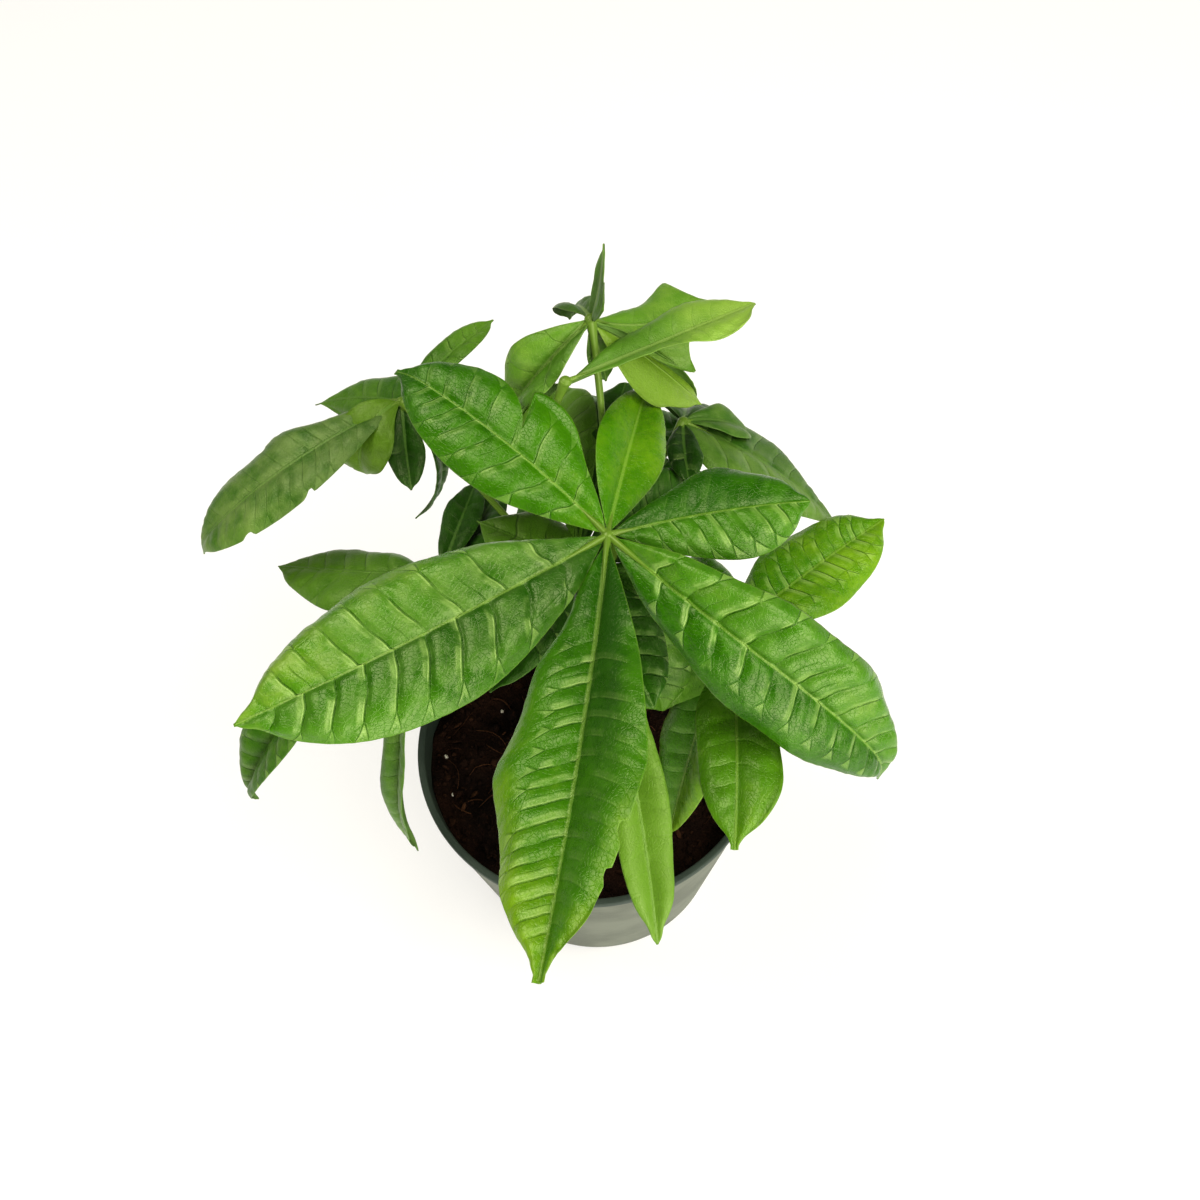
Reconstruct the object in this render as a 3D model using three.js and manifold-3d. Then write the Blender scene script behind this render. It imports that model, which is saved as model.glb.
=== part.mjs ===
// A money tree in a six-inch nursery pot: three braided stems in soil, each
// carrying hand-shaped leaves on long stalks. Millimetres, +Z up. The origin is the
// middle of the pot's flat base, -Y is the side that the plant is looked at from.
import * as THREE from 'three';
import * as BufferGeometryUtils from 'three/addons/utils/BufferGeometryUtils.js';
import Module from 'manifold-3d';

const wasm = await Module();
wasm.setup();

// Driving dimensions of the pot and the soil
const POT_HEIGHT = 108;
const POT_RIM_RADIUS = 76;
const POT_BASE_RADIUS = 57;
const POT_WALL = 2;
const POT_FLOOR = 3;
const LIP_WIDTH = 3.2;
const LIP_DEPTH = 3;
const LIP_ROUND = 0.8;
const FOOT_CHAMFER = 1.5;
const POT_SIDES = 40;
const SOIL_LEVEL = 97;
const SOIL_MOUND = 3;
const SOIL_MOUND_TOP = 0.25;
const SOIL_MOUND_FOOT = 0.95;
const SOIL_RINGS = 11;
const CLOD_HEIGHT = 0.9;
const CLOD_WAVES = [
  { heading: 14, length: 27, phase: 40 },
  { heading: 73, length: 33, phase: 215 },
  { heading: 118, length: 25, phase: 130 },
  { heading: 160, length: 41, phase: 300 },
  { heading: 41, length: 55, phase: 75 },
];
const CLEARANCE = 0.3;
const WELD_DISTANCE = 1e-4;

// Driving dimensions of the braided trunk
const STEM_COUNT = 3;
const STEM_RADIUS = 6.6;
const STEM_FOOT = 66;
const STEM_TOP = 218;
const BRAID_HALF_WIDTH = 14;
const BRAID_HALF_DEPTH = 9;
const BRAID_PITCH = 118;
const BRAID_TAPER = 0.66;
const TRUNK_FOOT = new THREE.Vector2(-6, 6);
const TRUNK_LEAN = new THREE.Vector2(8, 12);
const STEM_CROWN = 2;
const STEM_CROWN_SHARE = 0.6;
const STEM_SIDES = 10;
const STEM_RINGS = 18;

// Driving dimensions of a leaf
const BLADE_THICKNESS = 0.7;
const BLADE_ROW_LENGTH = 15;
const FEWEST_ROWS = 4;
const WIDE_BLADE = 21;
const MIDRIB_STEPS = 60;
const CURL = 24;
const FOLD = 14;
const BELLY = 0.57;
const STALKLET_HALF_WIDTH = 1;
const TIP_HALF_WIDTH = 0.4;
const HUB_RADIUS = 2.4;
const HUB_SIDES = 8;
const HUB_RINGS = 6;
const PETIOLE_RADIUS = 1.3;
const PETIOLE_SIDES = 6;
const PETIOLE_STEPS = 8;
const PETIOLE_BOW_SHARE = 0.45;
const PETIOLE_BOW = [0, 0, 8];

// Colours and roughnesses of the finishes
const POT_COLOR = 0x8d9087;
const POT_ROUGHNESS = 0.55;
const SOIL_COLOR = 0x2a1c13;
const SOIL_ROUGHNESS = 1;
const BARK_COLOR = 0x7b6a4c;
const BARK_ROUGHNESS = 0.85;
const LEAF_ROUGHNESS = 0.4;

const radians = THREE.MathUtils.degToRad;

// Keeps only welded positions, with the faces pointing out
function welded(geometry) {
  let bare = geometry.clone();
  bare.deleteAttribute('normal');
  bare.deleteAttribute('uv');
  bare = BufferGeometryUtils.mergeVertices(bare, WELD_DISTANCE);
  const index = Array.from(bare.index.array);
  const corner = [new THREE.Vector3(), new THREE.Vector3(), new THREE.Vector3()];
  const kept = [];
  let volume = 0;
  for (let i = 0; i < index.length; i += 3) {
    const triangle = index.slice(i, i + 3);
    if (new Set(triangle).size === 3) {
      corner.forEach((point, k) => point.fromBufferAttribute(bare.attributes.position, triangle[k]));
      volume += corner[0].dot(corner[1].clone().cross(corner[2]));
      kept.push(...triangle);
    }
  }
  if (volume < 0) {
    kept.reverse();
  }
  bare.setIndex(kept);
  return bare;
}

function solidOf(geometry) {
  const bare = welded(geometry);
  return new wasm.Manifold(new wasm.Mesh({
    numProp: 3,
    vertProperties: new Float32Array(bare.attributes.position.array),
    triVerts: new Uint32Array(bare.index.array),
  }));
}

function geometryOf(solid) {
  const mesh = solid.getMesh();
  const geometry = new THREE.BufferGeometry();
  geometry.setAttribute('position', new THREE.BufferAttribute(new Float32Array(mesh.vertProperties), 3));
  geometry.setIndex(Array.from(mesh.triVerts));
  return geometry;
}

// A profile of [radius, height] pairs that starts and ends on the axis, turned round +Z
function turned(profile, sides) {
  const points = profile.map(([radius, height]) => new THREE.Vector2(radius, height));
  return new THREE.LatheGeometry(points, sides).rotateX(Math.PI / 2);
}

function potWallRadius(height) {
  const share = height / (POT_HEIGHT - LIP_DEPTH);
  return THREE.MathUtils.lerp(POT_BASE_RADIUS, POT_RIM_RADIUS - LIP_ROUND, share);
}

// The bore runs straight from the floor's edge to the lip's inner edge
function potBoreRadius(height) {
  const top = POT_HEIGHT - LIP_ROUND;
  const share = (height - POT_FLOOR) / (top - POT_FLOOR);
  return THREE.MathUtils.lerp(potWallRadius(POT_FLOOR) - POT_WALL, POT_RIM_RADIUS - LIP_WIDTH, share);
}

function potGeometry() {
  const lipFoot = POT_HEIGHT - LIP_DEPTH;
  return turned([
    [0, 0],
    [POT_BASE_RADIUS - FOOT_CHAMFER, 0],
    [POT_BASE_RADIUS, FOOT_CHAMFER],
    [potWallRadius(lipFoot), lipFoot],
    [POT_RIM_RADIUS, lipFoot + LIP_ROUND],
    [POT_RIM_RADIUS, POT_HEIGHT - LIP_ROUND],
    [POT_RIM_RADIUS - LIP_ROUND, POT_HEIGHT],
    [POT_RIM_RADIUS - LIP_WIDTH + LIP_ROUND, POT_HEIGHT],
    [POT_RIM_RADIUS - LIP_WIDTH, POT_HEIGHT - LIP_ROUND],
    [potBoreRadius(POT_FLOOR), POT_FLOOR],
    [0, POT_FLOOR],
  ], POT_SIDES);
}

// The soil rises towards the trunk in a low mound, and clods lift it here and there. They
// are crossing waves, each a sine along its own heading, in degrees from +X towards +Y.
function soilTop(x, y) {
  const reach = Math.hypot(x, y) / POT_RIM_RADIUS;
  const mound = 1 - THREE.MathUtils.smoothstep(reach, SOIL_MOUND_TOP, SOIL_MOUND_FOOT);
  let top = SOIL_LEVEL + SOIL_MOUND * mound;
  for (const { heading, length, phase } of CLOD_WAVES) {
    const along = x * Math.cos(radians(heading)) + y * Math.sin(radians(heading));
    top += CLOD_HEIGHT * Math.sin(2 * Math.PI * along / length + radians(phase));
  }
  return top;
}

// The soil fills the pot from its floor, and its uneven top keeps the bore's taper
function soilGeometry() {
  const foot = POT_FLOOR + CLEARANCE;
  const edge = potBoreRadius(SOIL_LEVEL) - CLEARANCE;
  const profile = [[0, foot], [potBoreRadius(foot) - CLEARANCE, foot]];
  for (let ring = SOIL_RINGS; ring >= 0; ring -= 1) {
    profile.push([edge * ring / SOIL_RINGS, SOIL_LEVEL]);
  }
  const geometry = turned(profile, POT_SIDES);
  const position = geometry.attributes.position;
  for (let i = 0; i < position.count; i += 1) {
    if (position.getZ(i) > foot) {
      const top = soilTop(position.getX(i), position.getY(i));
      const spread = (potBoreRadius(top) - CLEARANCE) / edge;
      position.setXYZ(i, position.getX(i) * spread, position.getY(i) * spread, top);
    }
  }
  return geometry;
}

// How far up the trunk a height lies, 0 at the soil and 1 at the top
function trunkShare(height) {
  return (height - SOIL_LEVEL) / (STEM_TOP - SOIL_LEVEL);
}

// The braid narrows with height, and each stem swings side to side once and back
// to front twice in one pitch, a third of a pitch behind the one before it
function stemCentre(stem, height) {
  const share = trunkShare(height);
  const taper = THREE.MathUtils.lerp(1, BRAID_TAPER, THREE.MathUtils.clamp(share, 0, 1));
  const turn = 2 * Math.PI * ((height - SOIL_LEVEL) / BRAID_PITCH + stem / STEM_COUNT);
  const x = TRUNK_FOOT.x + TRUNK_LEAN.x * share + taper * BRAID_HALF_WIDTH * Math.sin(turn);
  const y = TRUNK_FOOT.y + TRUNK_LEAN.y * share + taper * BRAID_HALF_DEPTH * Math.sin(2 * turn);
  return new THREE.Vector3(x, y, height);
}

function stemRadius(height) {
  const share = THREE.MathUtils.clamp(trunkShare(height), 0, 1);
  return STEM_RADIUS * THREE.MathUtils.lerp(1, BRAID_TAPER, share);
}

// A stem is a tapered round column whose rings are shifted onto the braid's curve
function stemGeometry(stem, grow = 0) {
  const foot = STEM_FOOT - grow;
  const top = STEM_TOP + grow;
  const profile = [[0, foot]];
  for (let k = 0; k <= STEM_RINGS; k += 1) {
    const height = THREE.MathUtils.lerp(foot, top - STEM_CROWN, k / STEM_RINGS);
    profile.push([stemRadius(height) + grow, height]);
  }
  profile.push([STEM_CROWN_SHARE * stemRadius(top) + grow, top]);
  profile.push([0, top]);
  const geometry = turned(profile, STEM_SIDES);
  const position = geometry.attributes.position;
  for (let i = 0; i < position.count; i += 1) {
    const centre = stemCentre(stem, position.getZ(i));
    position.setXYZ(i, position.getX(i) + centre.x, position.getY(i) + centre.y, position.getZ(i));
  }
  return geometry;
}

// Directions at share s along a leaflet: along it, to its right and out of its upper face.
// The heading is counted from +X towards +Y, and the leaflet sinks as it goes out.
function leafletFrame(leaflet, s) {
  const { heading, rise, droop, bend = 0, roll = 0, twist = 0 } = leaflet;
  const compass = radians(heading + bend * s);
  const climb = radians(rise - droop * s);
  const along = new THREE.Vector3(
    Math.cos(climb) * Math.cos(compass),
    Math.cos(climb) * Math.sin(compass),
    Math.sin(climb),
  );
  const level = new THREE.Vector3(Math.sin(compass), -Math.cos(compass), 0);
  const upper = level.clone().cross(along);
  const lean = radians(roll + twist * s);
  const right = level.clone().multiplyScalar(Math.cos(lean)).addScaledVector(upper, Math.sin(lean));
  const up = upper.multiplyScalar(Math.cos(lean)).addScaledVector(level, -Math.sin(lean));
  return { along, right, up };
}

// Half the leaflet's width at share s: narrow at its foot, widest at its belly, pointed
function halfWidth(leaflet, s) {
  const belly = leaflet.belly ?? BELLY;
  const shape = (share) => share ** (2 * belly) * (1 - share) ** (2 - 2 * belly);
  const half = 0.5 * leaflet.width * shape(s) / shape(belly);
  const least = s < 0.5 ? STALKLET_HALF_WIDTH : TIP_HALF_WIDTH;
  return Math.max(half, least);
}

// A blade is a grid of rows along the midrib and columns across it, folded up along the
// midrib and arched down towards its edges, with a lower face one thickness below
function bladeGeometry(leaflet, hub) {
  const fold = leaflet.fold ?? FOLD;
  const rows = Math.max(FEWEST_ROWS, Math.round(leaflet.length / BLADE_ROW_LENGTH));
  const columns = leaflet.width > WIDE_BLADE ? 4 : 2;
  const middle = [hub.clone()];
  for (let k = 0; k < MIDRIB_STEPS; k += 1) {
    const step = leafletFrame(leaflet, (k + 0.5) / MIDRIB_STEPS).along;
    middle.push(middle[k].clone().addScaledVector(step, leaflet.length / MIDRIB_STEPS));
  }
  const upperFace = [];
  const lowerFace = [];
  for (let row = 0; row <= rows; row += 1) {
    const s = row / rows;
    const frame = leafletFrame(leaflet, s);
    const along = s * MIDRIB_STEPS;
    const step = Math.min(Math.floor(along), MIDRIB_STEPS - 1);
    const centre = middle[step].clone().lerp(middle[step + 1], along - step);
    for (let column = 0; column <= columns; column += 1) {
      const v = 2 * column / columns - 1;
      const reach = Math.abs(v);
      const out = halfWidth(leaflet, s) * reach;
      const lift = radians(fold - 0.5 * CURL * reach);
      const slope = radians(v === 0 ? 0 : fold - CURL * reach);
      const side = Math.sign(v);
      const point = centre.clone()
        .addScaledVector(frame.right, side * out * Math.cos(lift))
        .addScaledVector(frame.up, out * Math.sin(lift));
      const normal = frame.up.clone().multiplyScalar(Math.cos(slope))
        .addScaledVector(frame.right, -side * Math.sin(slope));
      upperFace.push(point);
      lowerFace.push(point.clone().addScaledVector(normal, -BLADE_THICKNESS));
    }
  }
  const wide = columns + 1;
  const count = upperFace.length;
  const index = [];
  const quad = (a, b, c, d) => index.push(a, b, c, a, c, d);
  for (let row = 0; row < rows; row += 1) {
    for (let column = 0; column < columns; column += 1) {
      const a = row * wide + column;
      const corners = [a, a + 1, a + 1 + wide, a + wide];
      const below = corners.map((corner) => corner + count);
      quad(...corners);
      index.push(below[0], below[2], below[1], below[0], below[3], below[2]);
    }
    const left = row * wide;
    const right = left + columns;
    quad(left, left + wide, left + wide + count, left + count);
    quad(right, right + count, right + wide + count, right + wide);
  }
  const last = rows * wide;
  for (let column = 0; column < columns; column += 1) {
    quad(column, column + count, column + 1 + count, column + 1);
    quad(last + column, last + column + 1, last + column + 1 + count, last + column + count);
  }
  const geometry = new THREE.BufferGeometry();
  geometry.setFromPoints([...upperFace, ...lowerFace]);
  geometry.setIndex(index);
  return geometry;
}

function hexagon(radius) {
  const shape = new THREE.Shape();
  for (let k = 0; k < PETIOLE_SIDES; k += 1) {
    const turn = 2 * Math.PI * k / PETIOLE_SIDES;
    const corner = [radius * Math.cos(turn), radius * Math.sin(turn)];
    if (k === 0) {
      shape.moveTo(...corner);
    } else {
      shape.lineTo(...corner);
    }
  }
  shape.closePath();
  return shape;
}

// The stalk leaves its stem at a height and bows up to the hub where the leaflets meet
function petioleGeometry(leaf, hub) {
  const seat = stemCentre(leaf.stem, leaf.height);
  const bow = seat.clone().lerp(hub, PETIOLE_BOW_SHARE);
  bow.add(new THREE.Vector3(...(leaf.bow ?? PETIOLE_BOW)));
  const path = new THREE.QuadraticBezierCurve3(seat, bow, hub);
  const settings = { steps: PETIOLE_STEPS, bevelEnabled: false, extrudePath: path };
  return new THREE.ExtrudeGeometry(hexagon(PETIOLE_RADIUS), settings);
}

// One leaf: stalk, hub and leaflets in one solid, ending just clear of its stem
function leafGeometry(leaf) {
  const hub = new THREE.Vector3(...leaf.hub);
  const ball = new THREE.SphereGeometry(HUB_RADIUS, HUB_SIDES, HUB_RINGS).translate(...leaf.hub);
  let solid = solidOf(ball).add(solidOf(petioleGeometry(leaf, hub)));
  for (const leaflet of leaf.leaflets) {
    solid = solid.add(solidOf(bladeGeometry(leaflet, hub)));
  }
  for (let stem = 0; stem < STEM_COUNT; stem += 1) {
    solid = solid.subtract(solidOf(stemGeometry(stem, CLEARANCE)));
  }
  return geometryOf(solid);
}

// Every leaf: its colour, its hub, the stem and height that its stalk leaves from, how far
// the stalk bows aside, and its leaflets.
// Headings, rises, droops, bends and rolls are in degrees, lengths and widths in mm.
const LEAVES = [
  {
    name: 'leaf_front', color: 0x4d9420, hub: [12, -11, 272], stem: 1, height: 210, bow: [6, 0, 8],
    leaflets: [
      { heading: 216, rise: 7, droop: 18, bend: -18, length: 134, width: 52, roll: 14, fold: 2, belly: 0.55 },
      { heading: -98, rise: 0, droop: -4, bend: -4, length: 151, width: 50, roll: -25, fold: 20, belly: 0.59 },
      { heading: -51, rise: 0, droop: 69, bend: 48, length: 148, width: 41, roll: -44, fold: 10, belly: 0.53 },
      { heading: 9, rise: 7, droop: 18, length: 70, width: 35, roll: -10, fold: 0, belly: 0.61 },
      { heading: 76, rise: -1, droop: 11, length: 75, width: 26, roll: -25, fold: 18 },
      { heading: 130, rise: 13, droop: 10, bend: 11, length: 101, width: 39, roll: 11, fold: 7, belly: 0.54 },
    ],
  },
  {
    name: 'leaf_back', color: 0x7fae45, hub: [11, 63, 298], stem: 1, height: 214, bow: [5, 0, 0],
    leaflets: [
      { heading: 211, rise: -28, droop: 34, bend: -28, length: 46, width: 26, roll: 12, fold: 39, belly: 0.61 },
      { heading: 24, rise: 72, droop: -13, bend: 15, length: 30, width: 13, roll: 17, belly: 0.3 },
      { heading: 17, rise: -38, droop: -45, bend: 11, length: 52, width: 36, roll: -24, fold: -14, belly: 0.8 },
      { heading: -4, rise: -42, droop: 14, bend: 5, length: 61, width: 22, roll: -9, fold: -8 },
      { heading: 4, rise: -38, droop: 31, bend: 8, length: 66, width: 12, roll: 40, fold: 25 },
      { heading: 105, rise: -15, droop: 54, length: 42, width: 16 },
      { heading: 150, rise: -50, droop: 25, length: 46, width: 16 },
      { heading: -50, rise: -72, droop: 6, length: 27, width: 12 },
    ],
  },
  {
    name: 'leaf_crossing', color: 0x5c9a2b, hub: [1, 42, 290], stem: 2, height: 212, bow: [-15, 0, 2],
    leaflets: [
      { heading: 18, rise: 8, droop: 8, bend: 7, length: 73, width: 25, roll: 12, fold: 19, belly: 0.62 },
      { heading: 112, rise: -48, droop: 10, length: 30, width: 12 },
    ],
  },
  {
    name: 'leaf_right_back', color: 0x4c8733, hub: [45, 72, 232], stem: 1, height: 194,
    leaflets: [
      { heading: -9, rise: -25, droop: 30, bend: -10, length: 91, width: 50, roll: 14, fold: 2, belly: 0.3 },
      { heading: 15, rise: -5, droop: 58, length: 37, width: 17 },
      { heading: -96, rise: 14, droop: 20, bend: 10, length: 34, width: 14, roll: 7 },
      { heading: 80, rise: -20, droop: 60, length: 52, width: 20 },
    ],
  },
  {
    name: 'leaf_left_back', color: 0x4a7f2c, hub: [-65, 86, 238], stem: 2, height: 196, bow: [0, 0, 0],
    leaflets: [
      { heading: 215, rise: 9, droop: 54, bend: -17, length: 107, width: 35, fold: 2 },
      { heading: 144, rise: -18, droop: 16, bend: 15, length: 52, width: 27, roll: 27, fold: -13, belly: 0.25 },
      { heading: 215, rise: 12, droop: 125, length: 42, width: 20, roll: 20, fold: 11 },
      { heading: -88, rise: -25, droop: 38, length: 36, width: 15 },
      { heading: 47, rise: 13, droop: 25, bend: 4, length: 56, width: 14 },
      { heading: -9, rise: -54, droop: 80, bend: 9, length: 81, width: 10, roll: -24 },
    ],
  },
  {
    name: 'leaf_left', color: 0x3f7a26, hub: [-53, 25, 205], stem: 2, height: 192,
    leaflets: [
      { heading: 170, rise: -5, droop: 13, bend: -12, length: 73, width: 37, roll: -9, fold: -4 },
      { heading: 225, rise: 12, droop: 80, bend: -17, length: 132, width: 29, roll: -3, fold: 30 },
      { heading: -109, rise: -9, droop: 100, bend: -4, length: 147, width: 17, roll: -32, fold: 38 },
      { heading: 73, rise: 3, droop: 20, bend: 5, length: 53, width: 16 },
      { heading: 58, rise: -7, droop: 13, bend: 20, length: 60, width: 18 },
    ],
  },
  {
    name: 'leaf_right', color: 0x62a52a, hub: [55, -11, 205], stem: 1, height: 182,
    leaflets: [
      { heading: 46, rise: -14, droop: -10, bend: -11, length: 95, width: 38, roll: -5, fold: 3 },
      { heading: -118, rise: -36, droop: 34, length: 92, width: 32, roll: -32, fold: 17, belly: 0.44 },
      { heading: -91, rise: 23, droop: 34, bend: -8, length: 91, width: 29, roll: -3 },
      { heading: -170, rise: -22, droop: 62, length: 50, width: 22 },
      { heading: -42, rise: 5, droop: 40, length: 70, width: 26 },
      { heading: 100, rise: 0, droop: 30, length: 50, width: 20 },
    ],
  },
  {
    name: 'leaf_under_front', color: 0x4b8a26, hub: [1, 2, 236], stem: 0, height: 208,
    leaflets: [
      { heading: -76, rise: 4, droop: 45, bend: -11, length: 137, width: 20, roll: 4, fold: 20, belly: 0.65 },
      { heading: 136, rise: -3, droop: 48, bend: -8, length: 59, width: 18, roll: -15, fold: 18 },
      { heading: 89, rise: 15, droop: 29, bend: 9, length: 89, width: 27, roll: 10, fold: 17, belly: 0.75 },
      { heading: 84, rise: 18, droop: 18, bend: -2, length: 70, width: 12, belly: 0.7 },
      { heading: 45, rise: 10, droop: 43, bend: -4, length: 77, width: 22, roll: -19, fold: 18 },
      { heading: -122, rise: 15, droop: 25, length: 60, width: 22 },
      { heading: -47, rise: -14, droop: 68, bend: -7, length: 70, width: 32, roll: -18, fold: 18 },
      { heading: -66, rise: 8, droop: 40, length: 60, width: 30, roll: -6 },
    ],
  },
  {
    name: 'leaf_back_low', color: 0x3f7a26, hub: [15, 72, 212], stem: 0, height: 190,
    leaflets: [
      { heading: 90, rise: 0, droop: 60, length: 80, width: 28 },
      { heading: 40, rise: 0, droop: 60, length: 70, width: 26 },
      { heading: 140, rise: 0, droop: 60, length: 74, width: 26 },
      { heading: 190, rise: -10, droop: 55, length: 54, width: 22 },
      { heading: -5, rise: -10, droop: 55, length: 52, width: 20 },
    ],
  },
];

const group = new THREE.Group();

function addPiece(name, geometry, color, roughness) {
  const material = new THREE.MeshStandardMaterial({ color, roughness, metalness: 0 });
  const mesh = new THREE.Mesh(geometry, material);
  mesh.name = name;
  group.add(mesh);
}

addPiece('pot', welded(potGeometry()), POT_COLOR, POT_ROUGHNESS);

let soil = solidOf(soilGeometry());
for (let stem = 0; stem < STEM_COUNT; stem += 1) {
  soil = soil.subtract(solidOf(stemGeometry(stem, CLEARANCE)));
  addPiece(`stem_${stem + 1}`, welded(stemGeometry(stem)), BARK_COLOR, BARK_ROUGHNESS);
}
addPiece('soil', geometryOf(soil), SOIL_COLOR, SOIL_ROUGHNESS);

for (const leaf of LEAVES) {
  addPiece(leaf.name, leafGeometry(leaf), leaf.color, LEAF_ROUGHNESS);
}

export default group;
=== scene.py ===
# %% [markdown]
# # A money tree in a nursery pot
#
# A money tree is sold as a few young stems braided into one trunk. Each stem carries long
# stalks, and each stalk ends in a hub where five to seven leaflets meet like the fingers of
# a hand. This lesson builds such a plant in numpy: every surface is a function of two
# parameters on a grid, so the veins, the quilted panels and the torn edge of a leaflet are
# terms of one formula, and not sculpted by hand.
#
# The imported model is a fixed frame. It gives the real size and place of every piece, and
# the finer pieces made here stand in the space that the plain ones hold.

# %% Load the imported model
import math

import bpy
import numpy as np
from mathutils import Matrix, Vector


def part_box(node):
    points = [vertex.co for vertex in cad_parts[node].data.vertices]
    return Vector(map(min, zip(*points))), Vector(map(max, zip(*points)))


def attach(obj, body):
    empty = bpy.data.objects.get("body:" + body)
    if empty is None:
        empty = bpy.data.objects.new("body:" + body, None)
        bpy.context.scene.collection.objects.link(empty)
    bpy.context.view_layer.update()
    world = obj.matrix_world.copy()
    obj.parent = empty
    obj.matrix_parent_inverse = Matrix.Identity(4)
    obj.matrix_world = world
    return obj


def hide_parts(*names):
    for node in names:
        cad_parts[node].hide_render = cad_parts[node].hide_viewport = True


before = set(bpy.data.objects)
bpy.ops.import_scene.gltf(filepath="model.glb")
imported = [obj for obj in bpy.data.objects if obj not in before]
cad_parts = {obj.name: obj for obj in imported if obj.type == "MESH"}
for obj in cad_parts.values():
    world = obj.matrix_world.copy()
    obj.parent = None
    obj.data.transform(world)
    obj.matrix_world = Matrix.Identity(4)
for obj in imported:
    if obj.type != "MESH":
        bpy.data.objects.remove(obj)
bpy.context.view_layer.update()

MM = 0.001
print("the packed model holds", sorted(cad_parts))

# %% [markdown]
# ## From arrays to a mesh
#
# A piece is gathered from several closed surfaces. Each one is a block of points, a few
# blocks of faces, and the numbers that its material will read, such as how close a point
# lies to a vein. Blender can build such a mesh from lists with from_pydata, but writing
# the whole arrays with foreach_set is far quicker on a grid of fifty thousand points.

# %% Pieces from arrays
class Pile:
    """Gathers closed surfaces for one piece: points in metres, faces, and one number per
    point for each named field."""

    def __init__(self, *fields):
        self.points = []
        self.faces = []
        self.fields = {name: [] for name in fields}
        self.flat = []
        self.count = 0

    def add(self, points, faces, flat=None, **values):
        """Adds one surface. faces is a list of arrays, each with rows of point numbers."""
        size = len(points)
        self.points.append(np.asarray(points, float))
        self.faces += [np.asarray(block) + self.count for block in faces]
        self.flat.append(np.zeros((size, 2)) if flat is None else flat)
        for name, column in self.fields.items():
            column.append(np.broadcast_to(np.asarray(values.get(name, 0.0), float), (size,)))
        self.count += size

    def piece(self, name, material):
        """Writes the arrays into a mesh and returns its object, which sits at the origin."""
        mesh = bpy.data.meshes.new(name)
        points = np.concatenate(self.points)
        corners = np.concatenate([block.ravel() for block in self.faces]).astype(np.int32)
        sizes = np.concatenate([np.full(len(block), block.shape[1]) for block in self.faces])
        starts = np.concatenate([[0], np.cumsum(sizes)[:-1]]).astype(np.int32)
        mesh.vertices.add(len(points))
        mesh.vertices.foreach_set("co", points.astype(np.float32).ravel())
        mesh.loops.add(len(corners))
        mesh.loops.foreach_set("vertex_index", corners)
        mesh.polygons.add(len(sizes))
        mesh.polygons.foreach_set("loop_start", starts)
        mesh.update(calc_edges=True)
        for field, column in self.fields.items():
            layer = mesh.attributes.new(field, "FLOAT", "POINT")
            layer.data.foreach_set("value", np.concatenate(column).astype(np.float32))
        layer = mesh.uv_layers.new(name="UVMap")
        layer.data.foreach_set("uv", np.concatenate(self.flat)[corners].astype(np.float32).ravel())
        mesh.polygons.foreach_set("use_smooth", np.ones(len(sizes), bool))
        mesh.materials.append(material)
        mesh.validate()
        made = bpy.data.objects.new(name, mesh)
        bpy.context.scene.collection.objects.link(made)
        print(name, "has", int((sizes - 2).sum()), "triangles")
        return made


def place(piece, node):
    """Rides a piece on the one body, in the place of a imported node."""
    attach(piece, "root")
    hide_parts(node)


# %% Grids of faces
def grid_faces(rows, columns):
    """Quads over a grid whose points run along the columns first, anticlockwise where the
    columns run to the right of the rows."""
    first = np.arange(rows)[:, None] * (columns + 1) + np.arange(columns)
    return np.stack([first, first + 1, first + columns + 2, first + columns + 1], -1).reshape(-1, 4)


def ring_faces(rows, sides):
    """Quads over rows + 1 closed rings of points, outwards where the rings run
    anticlockwise and the rows run upwards."""
    step = np.arange(sides)
    low = np.arange(rows)[:, None] * sides
    quads = [low + step, low + (step + 1) % sides]
    return np.stack([quads[0], quads[1], quads[1] + sides, quads[0] + sides], -1).reshape(-1, 4)


def cap_faces(first, sides, pole, upward):
    """Triangles from a ring of points, the first of which is given, to its pole."""
    step = np.arange(sides)
    ring = [first + step, first + (step + 1) % sides]
    if not upward:
        ring.reverse()
    return np.stack([ring[0], ring[1], np.full(sides, pole)], -1)


def add_tube(pile, rings, **values):
    """Closes a stack of rings, an array of rows by sides by three, with a pole at each end."""
    rows, sides = rings.shape[0] - 1, rings.shape[1]
    poles = np.stack([rings[0].mean(0), rings[-1].mean(0)])
    count = rings.shape[0] * sides
    faces = [
        ring_faces(rows, sides),
        cap_faces(0, sides, count, False),
        cap_faces(rows * sides, sides, count + 1, True),
    ]
    spread = {}
    for name, value in values.items():
        full = np.broadcast_to(value, rings.shape[:2])
        spread[name] = np.concatenate([full.ravel(), [full[0].mean(), full[-1].mean()]])
    pile.add(np.concatenate([rings.reshape(-1, 3), poles]), faces, **spread)


def swept(path, radii, sides):
    """Rings round a path: each ring is a circle square to the path's direction, its seam set by
    the one axis along which the path runs least."""
    step = np.gradient(path, axis=0)
    along = step / np.linalg.norm(step, axis=1)[:, None]
    start = np.eye(3)[np.argmin(np.abs(along).max(0))]
    side = np.cross(along, start)
    side /= np.linalg.norm(side, axis=1)[:, None]
    out = np.cross(side, along)
    turn = np.linspace(0, 2 * np.pi, sides, endpoint=False)
    circle = np.cos(turn)[:, None] * out[:, None] + np.sin(turn)[:, None] * side[:, None]
    return path[:, None] + circle * np.asarray(radii)[:, None, None]


# %% Curves and ripples
def smooth(low, high, value):
    """0 below low, 1 above high, and an s-curve between."""
    share = np.clip((value - low) / (high - low), 0, 1)
    return share * share * (3 - 2 * share)


def bell(away, width, power=2):
    """1 where away is 0, falling off to both sides within about the width: e to the minus
    away over width, to an even power. A power of 4 gives a flatter top."""
    return np.exp(-((away / width) ** power))


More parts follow.
